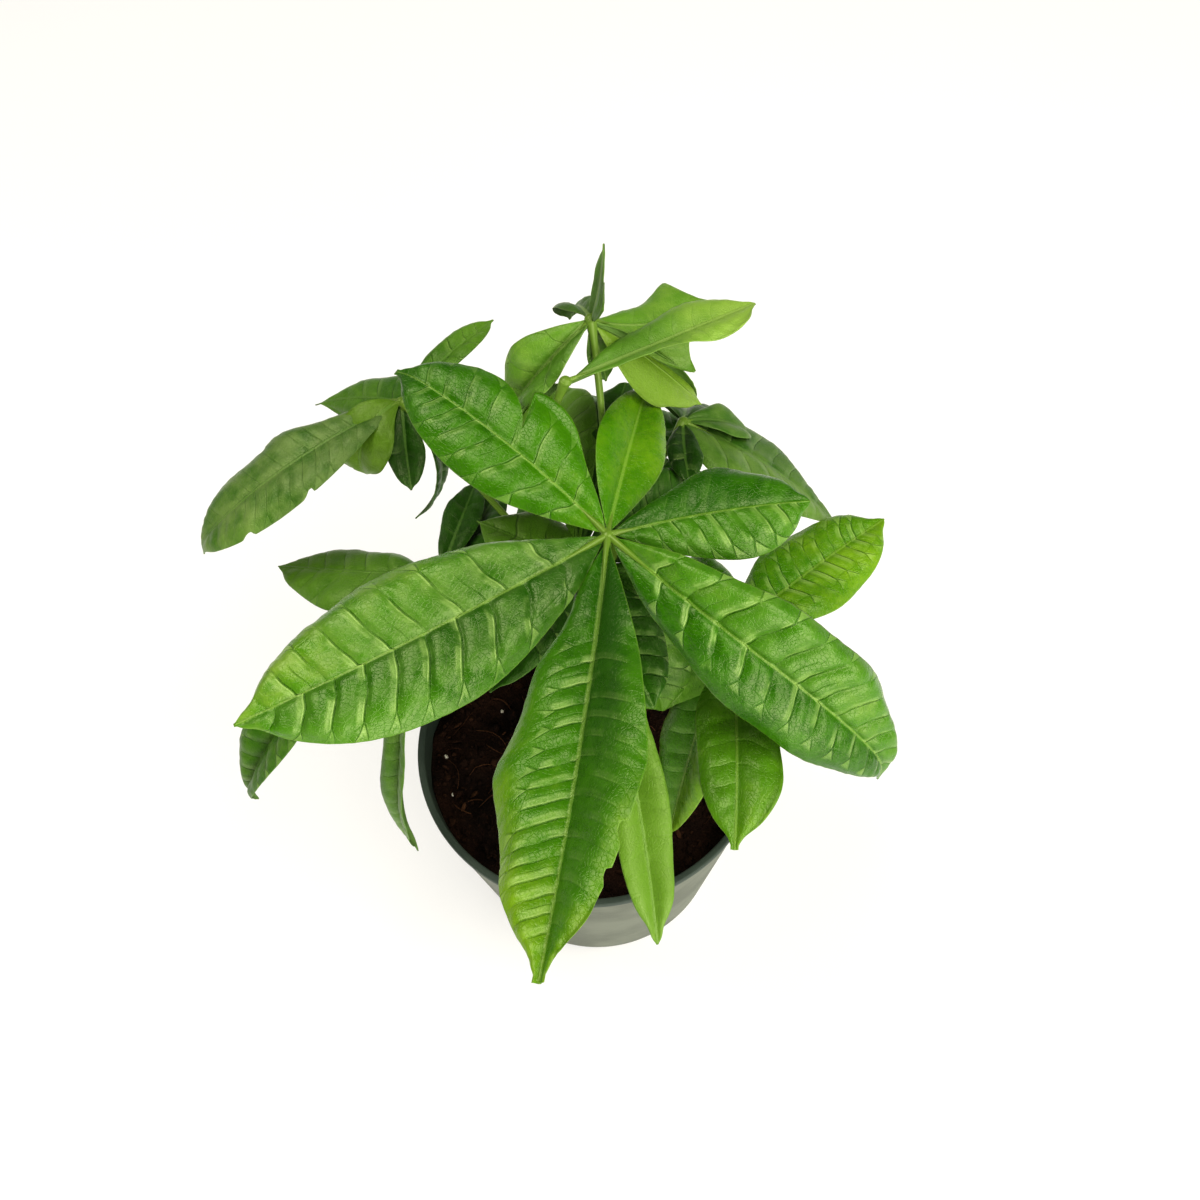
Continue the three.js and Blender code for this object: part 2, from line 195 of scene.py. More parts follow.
def ripple(rng, waves, finest):
    """A soft random field on the plane, the sum of sine waves of random direction and
    phase. Its values lie round 0 with a spread of about 1."""
    turn = rng.uniform(0, 2 * np.pi, waves)
    pace = finest * rng.uniform(0.15, 1, waves)
    phase = rng.uniform(0, 2 * np.pi, waves)

    def field(x, y):
        total = 0
        for k in range(waves):
            total = total + np.sin(pace[k] * (x * np.cos(turn[k]) + y * np.sin(turn[k])) + phase[k])
        return total / math.sqrt(waves / 2)

    return field


# %% [markdown]
# ## Shader maths as expressions
#
# A finish such as a leaf needs a few dozen maths nodes. Wired by hand they are hard to
# read, so a small class wraps a socket and turns plus, minus and times into nodes.
# Colours don't go through maths nodes, which would turn them grey: they go through mix.

# %% Sockets that take part in sums
class Value:
    """A number that varies over a surface, held as the output socket of a node."""

    def __init__(self, nodes, socket):
        self.nodes = nodes
        self.socket = socket

    def maths(self, operation, *others):
        """One Math node of this value and the others."""
        sockets = dict(enumerate((self, *others)))
        return self.nodes.node("ShaderNodeMath", {"operation": operation}, sockets)

    def __add__(self, other):
        return self.maths("ADD", other)

    def __radd__(self, other):
        return self.maths("ADD", other)

    def __mul__(self, other):
        return self.maths("MULTIPLY", other)

    def __rmul__(self, other):
        return self.maths("MULTIPLY", other)

    def __sub__(self, other):
        return self.maths("SUBTRACT", other)

    def __rsub__(self, other):
        return self.maths("MULTIPLY_ADD", -1.0, other)

    def step(self, low, high):
        """0 below low, 1 above high, and a smooth rise between."""
        settings = {"interpolation_type": "SMOOTHSTEP"}
        return self.nodes.node("ShaderNodeMapRange", settings, {0: self, 1: low, 2: high})


class Nodes:
    """The node tree of a material or a world, and the one way in which its nodes are made."""

    def __init__(self, owner):
        self.owner = owner
        owner.use_nodes = True
        self.tree = owner.node_tree
        self.tree.nodes.clear()

    def node(self, kind, settings=None, sockets=None, output=0):
        """Makes a node, sets it up, then feeds its sockets with values or links."""
        made = self.tree.nodes.new(kind)
        for name, value in (settings or {}).items():
            setattr(made, name, value)
        for key, value in (sockets or {}).items():
            if isinstance(value, Value):
                self.tree.links.new(value.socket, made.inputs[key])
            else:
                made.inputs[key].default_value = value
        return Value(self, made.outputs[output]) if made.outputs else made


def solid(colour):
    """A colour as four numbers, where it isn't a link yet."""
    if isinstance(colour, Value):
        return colour
    return (*colour, 1.0)


def shade(red, green, blue):
    """A colour as seen on a screen, from 0 to 255, as the linear numbers of a shader."""
    seen = np.array([red, green, blue]) / 255
    linear = np.where(seen > 0.04045, ((seen + 0.055) / 1.055) ** 2.4, seen / 12.92)
    return tuple(float(part) for part in linear)


# %% What a finish is made of
class Finish(Nodes):
    """A material, with the patterns, mixes and bumps that the finishes share."""

    def __init__(self, name):
        super().__init__(bpy.data.materials.new(name))

    def field(self, name):
        """A number that the mesh holds at each point."""
        return self.node("ShaderNodeAttribute", {"attribute_name": name}, output="Fac")

    def place(self, stretch=(1, 1, 1)):
        """The point's place in metres, stretched."""
        spot = self.node("ShaderNodeTexCoord", output="Object")
        return self.node("ShaderNodeMapping", {}, {"Vector": spot, "Scale": stretch})

    def flat(self, stretch=(1, 1, 1)):
        """The point's place on the piece's own map, stretched."""
        spot = self.node("ShaderNodeTexCoord", output="UV")
        return self.node("ShaderNodeMapping", {}, {"Vector": spot, "Scale": stretch})

    def noise(self, spot, scale, detail, rough=0.55):
        """Clouds round 0.5, with scale lumps in a metre and detail finer layers on them."""
        sockets = {"Vector": spot, "Scale": scale, "Detail": detail, "Roughness": rough}
        return self.node("ShaderNodeTexNoise", {}, sockets)

    def cells(self, spot, scale, feature="F1"):
        """Scale cells in a metre, as the distance to a cell's middle or to its edge."""
        settings = {"feature": feature}
        return self.node("ShaderNodeTexVoronoi", settings, {"Vector": spot, "Scale": scale})

    def mix(self, share, low, high):
        """The colour low where share is 0 and high where it is 1."""
        colours = {0: share, 6: solid(low), 7: solid(high)}
        return self.node("ShaderNodeMix", {"data_type": "RGBA"}, colours, output=2)

    def bump(self, height, distance, under=None):
        """Normals of a relief whose height of 1 stands for distance in metres."""
        sockets = {"Height": height, "Distance": distance, "Strength": 1.0}
        if under is not None:
            sockets["Normal"] = under
        return self.node("ShaderNodeBump", {}, sockets)

    def surface(self, **sockets):
        """The surface shader. A name such as Base_Color stands for the socket Base Color."""
        named = {name.replace("_", " "): value for name, value in sockets.items()}
        shader = self.node("ShaderNodeBsdfPrincipled", {}, named)
        self.node("ShaderNodeOutputMaterial", {}, {"Surface": shader})
        return self.owner


# %% [markdown]
# ## The camera
#
# The plant is looked down on from above its front edge. The pot's lip is a circle of known
# size, so its ellipse in the picture gives the camera's height, tilt and turn. The camera
# is set by those three readings, and not by eye.

# %% Camera
CAMERA_PLACE = (0.0082, -0.26556, 0.61318)
CAMERA_DIP = 56.14
CAMERA_TURN = -3.53
LENS_TO_WIDTH = 1290 / 1200
SENSOR = 36.0
NEAREST = 10 * MM


def aimed(spot, right, above, back):
    """The matrix of a camera or a lamp at a spot, from the ways to its right, above it and
    behind it. Both of them look away from what is behind them."""
    return Matrix.Translation(tuple(spot)) @ Matrix(np.stack([right, above, back]).T).to_4x4()


dip = math.radians(CAMERA_DIP)
turn = math.radians(CAMERA_TURN)
back = np.array([0, -math.cos(dip), math.sin(dip)])
level = np.array([1.0, 0, 0])
square = np.cross(back, level)
right = math.cos(turn) * level + math.sin(turn) * square
above = -math.sin(turn) * level + math.cos(turn) * square
camera = bpy.data.objects.new("camera", bpy.data.cameras.new("camera"))
camera.data.sensor_width = SENSOR
camera.data.lens = SENSOR * LENS_TO_WIDTH
camera.data.clip_start = NEAREST
camera.matrix_world = aimed(CAMERA_PLACE, right, above, back)
bpy.context.scene.collection.objects.link(camera)
bpy.context.scene.camera = camera
print("the camera looks down at", CAMERA_DIP, "degrees")

# %% [markdown]
# ## The pot
#
# A nursery pot is blown or moulded in one go from recycled plastic: a plain tapered wall,
# a thin turned lip and a base with a low foot ring. One profile turned round the axis
# gives all of it, inside and out. The plastic is dark green-grey, as the lip and the inside
# show. Its outer wall is painted a paler grey, painted light for the bright light on it,
# with paler scratches of wear.

# %% Sizes of the pot, from the imported model
pot_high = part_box("pot")[1]
RIM = pot_high.x
POT_HEIGHT = pot_high.z
BASE = 57 * MM
LIP_WIDTH = 3.2 * MM
LIP_DEPTH = 3 * MM
ROUND = 0.8 * MM
WALL = 2 * MM
FLOOR = 3 * MM
FOOT_RING = 1.2 * MM
FOOT_ROUND = 1.6 * MM
CORNER_POINTS = 5
POT_SIDES = 160
PIN = 0.2 * MM


def wall_radius(height):
    """The outer wall runs straight from the base's edge to the foot of the lip."""
    return BASE + (RIM - ROUND - BASE) * height / (POT_HEIGHT - LIP_DEPTH)


def corner(centre_radius, centre_height, start, end, radius=ROUND):
    """Points on a round corner of the profile, its angles in degrees from outwards."""
    turn = np.radians(np.linspace(start, end, CORNER_POINTS))
    return np.stack([centre_radius + radius * np.cos(turn), centre_height + radius * np.sin(turn)], -1)


def turned(profile, sides):
    """The rings that a profile of radius and height leaves when it is turned round the
    upright axis. A closed piece starts and ends a pin's width from the axis."""
    around = np.linspace(0, 2 * np.pi, sides, endpoint=False)
    radius = profile[:, :1]
    height = np.broadcast_to(profile[:, 1:], (len(profile), sides))
    return np.stack([radius * np.cos(around), radius * np.sin(around), height], -1)


# %% Pot
lip_inner = RIM - LIP_WIDTH
floor_radius = wall_radius(FLOOR) - WALL
climb = np.linspace(0.04, 0.98, 40)[:, None] * (POT_HEIGHT - LIP_DEPTH)
outside = [
    [[PIN, FOOT_RING], [BASE - 7 * MM, FOOT_RING], [BASE - 5.5 * MM, 0.1 * MM]],
    corner(BASE - FOOT_ROUND, FOOT_ROUND, -88, -10, FOOT_ROUND),
    np.concatenate([wall_radius(climb), climb], 1),
]
inside = [
    corner(RIM - ROUND, POT_HEIGHT - LIP_DEPTH + ROUND, -80, 0),
    corner(RIM - ROUND, POT_HEIGHT - ROUND, 0, 90),
    corner(lip_inner + ROUND, POT_HEIGHT - ROUND, 90, 180),
    [[lip_inner - 0.4 * MM, POT_HEIGHT - 5 * MM], [floor_radius - 1 * MM, FLOOR + 1 * MM]],
    [[floor_radius - 3 * MM, FLOOR], [PIN, FLOOR]],
]
pot_profile = np.concatenate(outside + inside)
dark_from = sum(len(block) for block in outside)
dark = (np.arange(len(pot_profile)) >= dark_from).astype(float)
pot_pile = Pile("dark")
add_tube(pot_pile, turned(pot_profile, POT_SIDES), dark=dark[:, None])

# %% Pot plastic
plastic = Finish("pot_plastic")
bloom = plastic.noise(plastic.place(), 28, 4)
scratches = plastic.noise(plastic.place((1, 1, 12)), 60, 5, 0.7)
specks = plastic.noise(plastic.place(), 900, 2)
# Painted light: the outer wall is a paler grey than the plastic for the bright light on it; the paler
# scratches are wear.
lit_wall_colour = plastic.mix(bloom.step(0.35, 0.65), shade(88, 93, 78), shade(112, 117, 102))
lit_wall_colour = plastic.mix(scratches.step(0.58, 0.75) * 0.5, lit_wall_colour, shade(150, 154, 138))
lip_colour = plastic.mix(bloom.step(0.3, 0.7), shade(48, 60, 52), shade(66, 78, 68))
plastic_colour = plastic.mix(plastic.field("dark"), lit_wall_colour, lip_colour)
pot_material = plastic.surface(
    Base_Color=plastic_colour,
    Roughness=bloom * 0.18 + 0.42 + scratches * 0.1,
    Specular_IOR_Level=0.4,
    Normal=plastic.bump(specks * 0.5 + scratches, 0.12 * MM),
)
pot = pot_pile.piece("nursery_pot", pot_material)
place(pot, "pot")
print("the pot is", round(2 * RIM / MM), "mm wide and", round(POT_HEIGHT / MM), "mm high")

# %% [markdown]
# ## The soil
#
# Potting soil is peat with bark, fibres and a few grains of white perlite. Its surface is
# a closed bed: rings that go out under the soil, up the pot's wall and in over the top,
# where soft random waves lift them into lumps. Crumbs, chips and fibres then lie on it.
# They are repeated many hundred times, so each has only a few dozen faces.

# %% Soil bed
SOIL_LEVEL = 97 * MM
SOIL_MOUND = 3 * MM
SOIL_GAP = 0.4 * MM
SOIL_SIDES = 240
SOIL_RINGS = 90
SOIL_EYE = 0.004
SOIL_MOUND_TOP = 0.25
SOIL_MOUND_FOOT = 0.95
LUMP_HEIGHT = 0.55 * MM
CLOD_HEIGHT = 0.9 * MM
CLOD_WAVES = [(14, 27, 40), (73, 33, 215), (118, 25, 130), (160, 41, 300), (41, 55, 75)]
soil_rng = np.random.default_rng(11)
lumps = ripple(soil_rng, 22, 900)


def clods(x, y):
    """Crossing waves, each a sine along its own heading: heading in degrees, length in
    millimetres and phase in degrees."""
    heading, length, phase = np.array(CLOD_WAVES, float).T
    way = np.radians(heading)
    along = np.multiply.outer(x, np.cos(way)) + np.multiply.outer(y, np.sin(way))
    return np.sin(2 * np.pi * along / (length * MM) + np.radians(phase)).sum(-1)


def soil_height(x, y):
    """A low mound that falls towards the wall, with clods a few centimetres wide and
    lumps of some millimetres on it."""
    reach = np.hypot(x, y) / RIM
    mound = SOIL_MOUND * (1 - smooth(SOIL_MOUND_TOP, SOIL_MOUND_FOOT, reach))
    return SOIL_LEVEL + mound + CLOD_HEIGHT * clods(x, y) + LUMP_HEIGHT * lumps(x, y)


def bore_radius(height):
    """The radius of the soil, a small gap inside the pot's wall."""
    return wall_radius(height) - WALL - SOIL_GAP


edge_radius = bore_radius(SOIL_LEVEL)
top_radius = edge_radius * np.linspace(1, SOIL_EYE, SOIL_RINGS)
top_rings = turned(np.stack([top_radius, 0 * top_radius], -1), SOIL_SIDES)
top_rings[..., 2] = soil_height(top_rings[..., 0], top_rings[..., 1])
below = np.array([
    [PIN, FLOOR + 0.3 * MM],
    [bore_radius(FLOOR) - 3 * MM, FLOOR + 0.3 * MM],
    [bore_radius(FLOOR + 3 * MM), FLOOR + 3 * MM],
    [bore_radius(80 * MM), 80 * MM],
])
soil_pile = Pile("tone")
add_tube(soil_pile, np.concatenate([turned(below, SOIL_SIDES), top_rings]))
print("the soil is", round(2 * edge_radius / MM), "mm wide at its top")

# %% Loose grains
BALL_LEVELS = 3
BALL_SIDES = 6


def ball():
    """A small closed ball of a few dozen faces: rings of points between two poles."""
    up = np.linspace(-0.5, 0.5, BALL_LEVELS + 2)[1:-1] * np.pi
    rings = turned(np.stack([np.cos(up), np.sin(up)], -1), BALL_SIDES)
    points = np.concatenate([rings.reshape(-1, 3), [[0, 0, -1], [0, 0, 1]]])
    count = BALL_LEVELS * BALL_SIDES
    faces = [
        ring_faces(BALL_LEVELS - 1, BALL_SIDES),
        cap_faces(0, BALL_SIDES, count, False),
        cap_faces(count - BALL_SIDES, BALL_SIDES, count + 1, True),
    ]
    return points, faces


def random_turns(rng, count):
    """Random turns of space, from the QR split of random matrices."""
    turns = np.linalg.qr(rng.normal(size=(count, 3, 3)))[0]
    turns[:, :, 0] *= np.sign(np.linalg.det(turns))[:, None]
    return turns


def scatter(pile, rng, sizes, stretch, places, tones):
    """Copies of the ball, each dented, stretched, turned and put in its place."""
    points, faces = ball()
    dents = rng.uniform(0.72, 1.18, (len(sizes), len(points), 1))
    grown = points * dents * (stretch * sizes[:, None])[:, None]
    turned_points = np.einsum("nij,npj->npi", random_turns(rng, len(sizes)), grown) + places[:, None]
    starts = np.arange(len(sizes))[:, None, None] * len(points)
    blocks = [(block[None] + starts).reshape(-1, block.shape[1]) for block in faces]
    pile.add(turned_points.reshape(-1, 3), blocks, tone=np.repeat(tones, len(points)))


def on_soil(rng, count, rise, reach):
    """Random places on the soil's surface, raised a little, out to a share of its radius.
    The root of the draw spreads them evenly over the disc."""
    radius = edge_radius * reach * np.sqrt(rng.uniform(0, 1, count))
    turn = rng.uniform(0, 2 * np.pi, count)
    x = radius * np.cos(turn)
    y = radius * np.sin(turn)
    return np.stack([x, y, soil_height(x, y) + rise], -1)


# %% Crumbs, chips, fibres and perlite
CRUMBS = 1500
CHIPS = 130
FIBRES = 90
PERLITE = 22


def add_fibre(pile, rng, middle):
    """A thin root or shred on the soil: a line with a bend that grows as the square of the
    share of its length, drawn inwards where it would meet the wall, and raised in an arc."""
    length = rng.uniform(6, 20) * MM
    heading = rng.uniform(0, 2 * np.pi)
    bend = rng.uniform(-1.2, 1.2)
    share = np.linspace(-0.5, 0.5, 7)
    x = middle[0] + length * share * np.cos(heading) - bend * length * share**2 * np.sin(heading)
    y = middle[1] + length * share * np.sin(heading) + bend * length * share**2 * np.cos(heading)
    inward = np.minimum(1, edge_radius * 0.97 / np.hypot(x, y))
    x = x * inward
    y = y * inward
    lift = soil_height(x, y) + (0.5 + 2.2 * (0.25 - share**2)) * MM
    thickness = rng.uniform(0.14, 0.34) * MM * (1.1 - 1.2 * share**2)
    add_tube(pile, swept(np.stack([x, y, lift], -1), thickness, 4), tone=rng.uniform(0.9, 1.9))


crumb_sizes = soil_rng.gamma(2.2, 0.42, CRUMBS).clip(0.35, 3.0) * MM
crumb_stretch = soil_rng.uniform(0.55, 1.25, (CRUMBS, 3))
crumb_pile = Pile("tone")
scatter(crumb_pile, soil_rng, crumb_sizes, crumb_stretch,
        on_soil(soil_rng, CRUMBS, 0.25 * MM, 0.965), soil_rng.uniform(0, 1, CRUMBS))
chip_stretch = np.stack([
    soil_rng.uniform(1.2, 2.6, CHIPS),
    soil_rng.uniform(0.6, 1.1, CHIPS),
    soil_rng.uniform(0.2, 0.4, CHIPS),
], -1)
scatter(crumb_pile, soil_rng, soil_rng.uniform(1.0, 2.2, CHIPS) * MM, chip_stretch,
        on_soil(soil_rng, CHIPS, 0.6 * MM, 0.93), soil_rng.uniform(0.5, 1.6, CHIPS))
for middle in on_soil(soil_rng, FIBRES, 0.9 * MM, 0.9):
    add_fibre(crumb_pile, soil_rng, middle)
perlite_pile = Pile("tone")
scatter(perlite_pile, soil_rng, soil_rng.uniform(0.6, 1.5, PERLITE) * MM,
        soil_rng.uniform(0.75, 1.2, (PERLITE, 3)), on_soil(soil_rng, PERLITE, 0.3 * MM, 0.95),
        soil_rng.uniform(0, 1, PERLITE))

# %% Soil and perlite finishes
peat = Finish("potting_soil")
damp = peat.noise(peat.place(), 45, 3)
grain = peat.noise(peat.place(), 420, 6, 0.7)
bits = peat.cells(peat.place(), 700)
peat_colour = peat.mix(damp.step(0.3, 0.7), shade(24, 14, 9), shade(44, 27, 18))
peat_colour = peat.mix(grain.step(0.5, 0.75) * 0.7, peat_colour, shade(70, 44, 31))
peat_colour = peat.mix(peat.field("tone").step(0.5, 1.9) * 0.5, peat_colour, shade(120, 82, 56))
peat_material = peat.surface(
    Base_Color=peat_colour,
    Roughness=0.95,
    Specular_IOR_Level=0.15,
    Normal=peat.bump(grain + bits * 0.6, 1.1 * MM),
)
grit = Finish("perlite")
pores = grit.noise(grit.place(), 1800, 3)
grit_material = grit.surface(
    Base_Color=grit.mix(pores.step(0.35, 0.6), shade(168, 158, 140), shade(226, 222, 210)),
    Roughness=0.9,
    Normal=grit.bump(pores, 0.3 * MM),
)
soil_bed = soil_pile.piece("soil_bed", peat_material)
crumbs = crumb_pile.piece("soil_crumbs", peat_material)
perlite = perlite_pile.piece("perlite", grit_material)
for grains in (soil_bed, crumbs, perlite):
    place(grains, "soil")

# %% [markdown]
# ## The braided stems
#
# Three saplings are braided while they are soft, and the braid sets as they thicken. Each
# stem is a ring swept up a curve that swings from side to side once and from front to back
# twice in every turn. The bark is pinkish brown and flaky at the foot, and turns smooth and
# green above, with a scar under each place where a leaf once sat.

# %% Stems
STEM_RADIUS = 6.6 * MM
STEM_FOOT = 66 * MM
STEM_TOP = 218 * MM
BRAID_HALF_WIDTH = 14 * MM
BRAID_HALF_DEPTH = 9 * MM
BRAID_PITCH = 118 * MM
BRAID_TAPER = 0.66
TRUNK_FOOT = np.array([-6, 6]) * MM
TRUNK_LEAN = np.array([8, 12]) * MM
STEM_SIDES = 56
STEM_ROWS = 190
STEMS = 3
STEM_SEED = 30
KNOTS = 8
FIRST_KNOT = 6
KNOT_GAPS = (13, 23)
SWELLING = 0.55
SCAR_DEPTH = 0.35
RIDGE_HEIGHT = 0.22
BUD_RISE = [0.8, 2.0, 3.6, 5.4, 7.2]
BUD_WIDTH = [0.86, 0.62, 0.46, 0.3, 0.1]


def stem_centre(stem, height):
    """The axis leans a little. Round it the stem swings sideways as a sine of its turn,
    and to and fro as a sine of twice its turn, both less towards the top."""
    share = (height - SOIL_LEVEL) / (STEM_TOP - SOIL_LEVEL)
    taper = 1 + (BRAID_TAPER - 1) * np.clip(share, 0, 1)
    turn = 2 * np.pi * ((height - SOIL_LEVEL) / BRAID_PITCH + stem / STEMS)
    x = TRUNK_FOOT[0] + TRUNK_LEAN[0] * share + taper * BRAID_HALF_WIDTH * np.sin(turn)
    y = TRUNK_FOOT[1] + TRUNK_LEAN[1] * share + taper * BRAID_HALF_DEPTH * np.sin(2 * turn)
    return np.stack([x, y, height], -1)


def stem_radius(height):
    """The radius falls evenly from the soil to the top."""
    share = np.clip((height - SOIL_LEVEL) / (STEM_TOP - SOIL_LEVEL), 0, 1)
    return STEM_RADIUS * (1 + (BRAID_TAPER - 1) * share)


def make_stem(stem, rng):
    """Rings up the curve. Knots swell them, scars cut a shallow step under each knot, and
    soft ridges run up the bark. A pointed bud closes the top. The gaps and widths of the
    knots are in millimetres."""
    height = np.linspace(STEM_FOOT, STEM_TOP, STEM_ROWS)
    rise = np.concatenate([height, STEM_TOP + np.array(BUD_RISE) * MM])
    bud = np.concatenate([np.ones(STEM_ROWS), BUD_WIDTH])
    path = stem_centre(stem, rise)
    radius = stem_radius(rise) * bud
    knots = SOIL_LEVEL + (FIRST_KNOT + np.cumsum(rng.uniform(*KNOT_GAPS, KNOTS))) * MM
    away = (rise[:, None] - knots) / MM
    swelling = SWELLING * bell(away, 3.2).sum(1) - SCAR_DEPTH * bell(away + 3.4, 1.1).sum(1)
    turn = np.linspace(0, 2 * np.pi, STEM_SIDES, endpoint=False)
    uneven = ripple(rng, 14, 5)
    ridges = uneven(turn[None] * 2.2, rise[:, None] / (16 * MM))
    ridges = ridges + 0.6 * np.sin(turn * 5 + rise[:, None] / (21 * MM))
    calm = bud[:, None] ** 2
    rings = swept(path, np.ones(len(rise)), STEM_SIDES) - path[:, None]
    grown = radius[:, None] + (swelling[:, None] + RIDGE_HEIGHT * ridges) * MM * calm
    young = smooth(0.25, 0.72, (rise - SOIL_LEVEL) / (STEM_TOP - SOIL_LEVEL))
    pile = Pile("young", "scar")
    scar = bell(away + 3.2, 1.3).sum(1).clip(0, 1)
    add_tube(pile, path[:, None] + rings * grown[..., None], young=young[:, None], scar=scar[:, None])
    return pile


# %% Bark
bark = Finish("bark")
fissures = bark.noise(bark.place((1, 1, 0.28)), 260, 6, 0.65)
flakes = bark.noise(bark.place((1, 1, 0.5)), 620, 4, 0.6)
cracks = 1 - bark.cells(bark.place((1, 1, 0.3)), 420, "DISTANCE_TO_EDGE").step(0.0, 0.1)
patches = bark.noise(bark.place(), 90, 3)
lenticels = bark.noise(bark.place((0.35, 0.35, 1.6)), 420, 2)
old_bark = bark.mix(patches.step(0.3, 0.7), shade(122, 84, 66), shade(158, 116, 94))
old_bark = bark.mix(flakes.step(0.45, 0.7) * 0.5, old_bark, shade(196, 168, 144))
old_bark = bark.mix(cracks.maths("MAXIMUM", fissures.step(0.5, 0.8)) * 0.4, old_bark, shade(78, 54, 42))
green_bark = bark.mix(patches.step(0.3, 0.75), shade(58, 84, 34), shade(98, 120, 56))
green_bark = bark.mix(lenticels.step(0.6, 0.72) * 0.7, green_bark, shade(176, 180, 130))
bark_colour = bark.mix(bark.field("young"), old_bark, green_bark)
bark_colour = bark.mix(bark.field("scar") * 0.55, bark_colour, shade(112, 88, 62))
bark_relief = (fissures - cracks * 0.3) * (1 - bark.field("young") * 0.7) + flakes * 0.2
bark_material = bark.surface(
    Base_Color=bark_colour,
    Roughness=0.72 - bark.field("young") * 0.2,
    Specular_IOR_Level=0.35,
    Normal=bark.bump(bark_relief, 0.7 * MM),
)
for stem in range(STEMS):
    stem_pile = make_stem(stem, np.random.default_rng(STEM_SEED + stem))
    place(stem_pile.piece(f"stem_{stem + 1}_bark", bark_material), f"stem_{stem + 1}")

# %% [markdown]
# ## One leaflet as one formula
#
# A leaflet is a thin sheet with a strong midrib. Its side veins leave the midrib at about
# seventy degrees and end in a fork short of the margin. The blade swells between them into
# flat panels, and beyond the forks a smooth hem curls down. A sculpted mesh could show
# this, but a formula gives every leaflet its own veins from a few numbers.
#
# The grid's rows lean with the veins, so that a vein is a row of points and its groove
# stays crisp. The sheet is closed: an upper side, an under side a little below it, and a
# thin edge that joins the two.
#
# Each leaflet has a heading and a rise in degrees, a droop, which is how much of its rise
# it loses along its length, and a length and a width in millimetres. Its other numbers are
# in the next cell, with their usual values. Where the two halves of a leaflet differ, a
# number is a pair, first for the left of the midrib and then for the right.

# %% The numbers of a leaflet
USUAL = {
    "bend": 0,  # degrees that the heading turns to the left along the leaflet
    "hook": 0,  # degrees that the tip dips further
    "roll": 0,  # degrees that the blade is turned round its midrib, right side up
    "fold": 14,  # degrees that both halves rise from the midrib
    "belly": 0.57,  # where it is widest, as a share of the length
    "angular": 0,  # from 0, a round outline, to 1, straight sides and a corner
    "blunt": 0.4,  # half the width of the tip, in millimetres
    "notches": (),  # side, place, width and depth as shares: below zero, it is a bulge
    "tears": (),  # side, start, stop, and what is left of the half where it starts
    "pitch": 9.0,  # millimetres from one side vein to the next
    "ends": 0.74,  # how far out the panels end, as a share of the half width
    "longer": 0,  # how much further out they end near the tip
    "quilt": 1.0,  # how high the panels swell
    "calm": 0.0,  # share of the length, from the hub, that is hardly quilted
    "hem": 0.4,  # how far out the blade starts to curl down, as a share
    "wave": 1.0,  # height of the waves of the margin, in millimetres
    "tone": 0.5,  # how light the green is, partly painted light: a half in the light is painted lighter
    "fresh": 0.25,  # how much lighter it gets towards the tip
    "bright_hem": 0.0,  # how much lighter it gets towards the margin
    "milky": 0.0,  # how pale and grey it is painted: a painted sheen of the wax
    "young": 0.0,  # how yellow it is
    "rib": 1.0,  # how wide the pale line of the midrib is
    "lit_side": -1.0,  # which side of a vein catches the light, -1 or 1
}


def leaflet(heading, rise, droop, length, width, **others):
    """All the numbers of one leaflet, the usual ones where no others are given."""
    five = {"heading": heading, "rise": rise, "droop": droop, "length": length, "width": width}
    return {**USUAL, **five, **others}


def halves(value, right):
    """One number, or a pair: the first where right is 0 and the second where it is 1."""
    left_one, right_one = np.broadcast_to(value, 2)
    return left_one + (right_one - left_one) * right


# %% The midrib and its frame
MIDRIB_STEPS = 400
HOOK_START = 0.84


def directions(shape, s):
    """At share s of the length: the way along the midrib, the way across to the right and
    the way up out of the blade. Heading and rise change evenly along the leaflet, the tip
    may hook down, and the blade is rolled round its midrib."""
    dip = np.radians(shape["rise"] - shape["droop"] * s - shape["hook"] * smooth(HOOK_START, 1.0, s))
    bearing = np.radians(shape["heading"] + shape["bend"] * s)
    along = np.stack([np.cos(dip) * np.cos(bearing), np.cos(dip) * np.sin(bearing), np.sin(dip)], -1)
    level = np.stack([np.sin(bearing), -np.cos(bearing), np.zeros_like(dip)], -1)
    up = np.cross(level, along)
    roll = np.radians(shape["roll"])
    across = np.cos(roll) * level + np.sin(roll) * up
    return along, across, np.cos(roll) * up - np.sin(roll) * level


def midrib(shape, hub, s):
    """The midrib is the sum of its directions over many short steps."""
    middle = (np.arange(MIDRIB_STEPS) + 0.5) / MIDRIB_STEPS
    steps = directions(shape, middle)[0] * shape["length"] * MM / MIDRIB_STEPS
    track = np.concatenate([np.zeros((1, 3)), np.cumsum(steps, 0)]) + np.array(hub) * MM
    knots = np.linspace(0, 1, MIDRIB_STEPS + 1)
    return np.stack([np.interp(s, knots, track[:, axis]) for axis in range(3)], -1)


# %% The outline
STALKLET_HALF = 1.0 * MM
DRIP_PLACE = 0.96
DRIP_WIDTH = 0.035
DRIP_DEPTH = 0.3


def half_width(shape, s):
    """The outline: s to one power times 1 - s to another, so that the widest place is at
    the belly's share of the length. An angular leaflet has straight sides and a corner
    there instead. The last part is drawn in to a drip tip, which may be blunt."""
    belly = shape["belly"]
    peak = belly ** (2 * belly) * (1 - belly) ** (2 - 2 * belly)
    body = s ** (2 * belly) * (1 - s) ** (2 - 2 * belly) / peak
    tent = np.minimum(s / belly, (1 - s) / (1 - belly))
    body = body + (tent - body) * shape["angular"]
    drip = 1 - DRIP_DEPTH * bell(s - DRIP_PLACE, DRIP_WIDTH)
    least = STALKLET_HALF + (shape["blunt"] * MM - STALKLET_HALF) * smooth(0.4, 0.6, s)
    return np.maximum(shape["width"] * MM / 2 * body * drip, least)


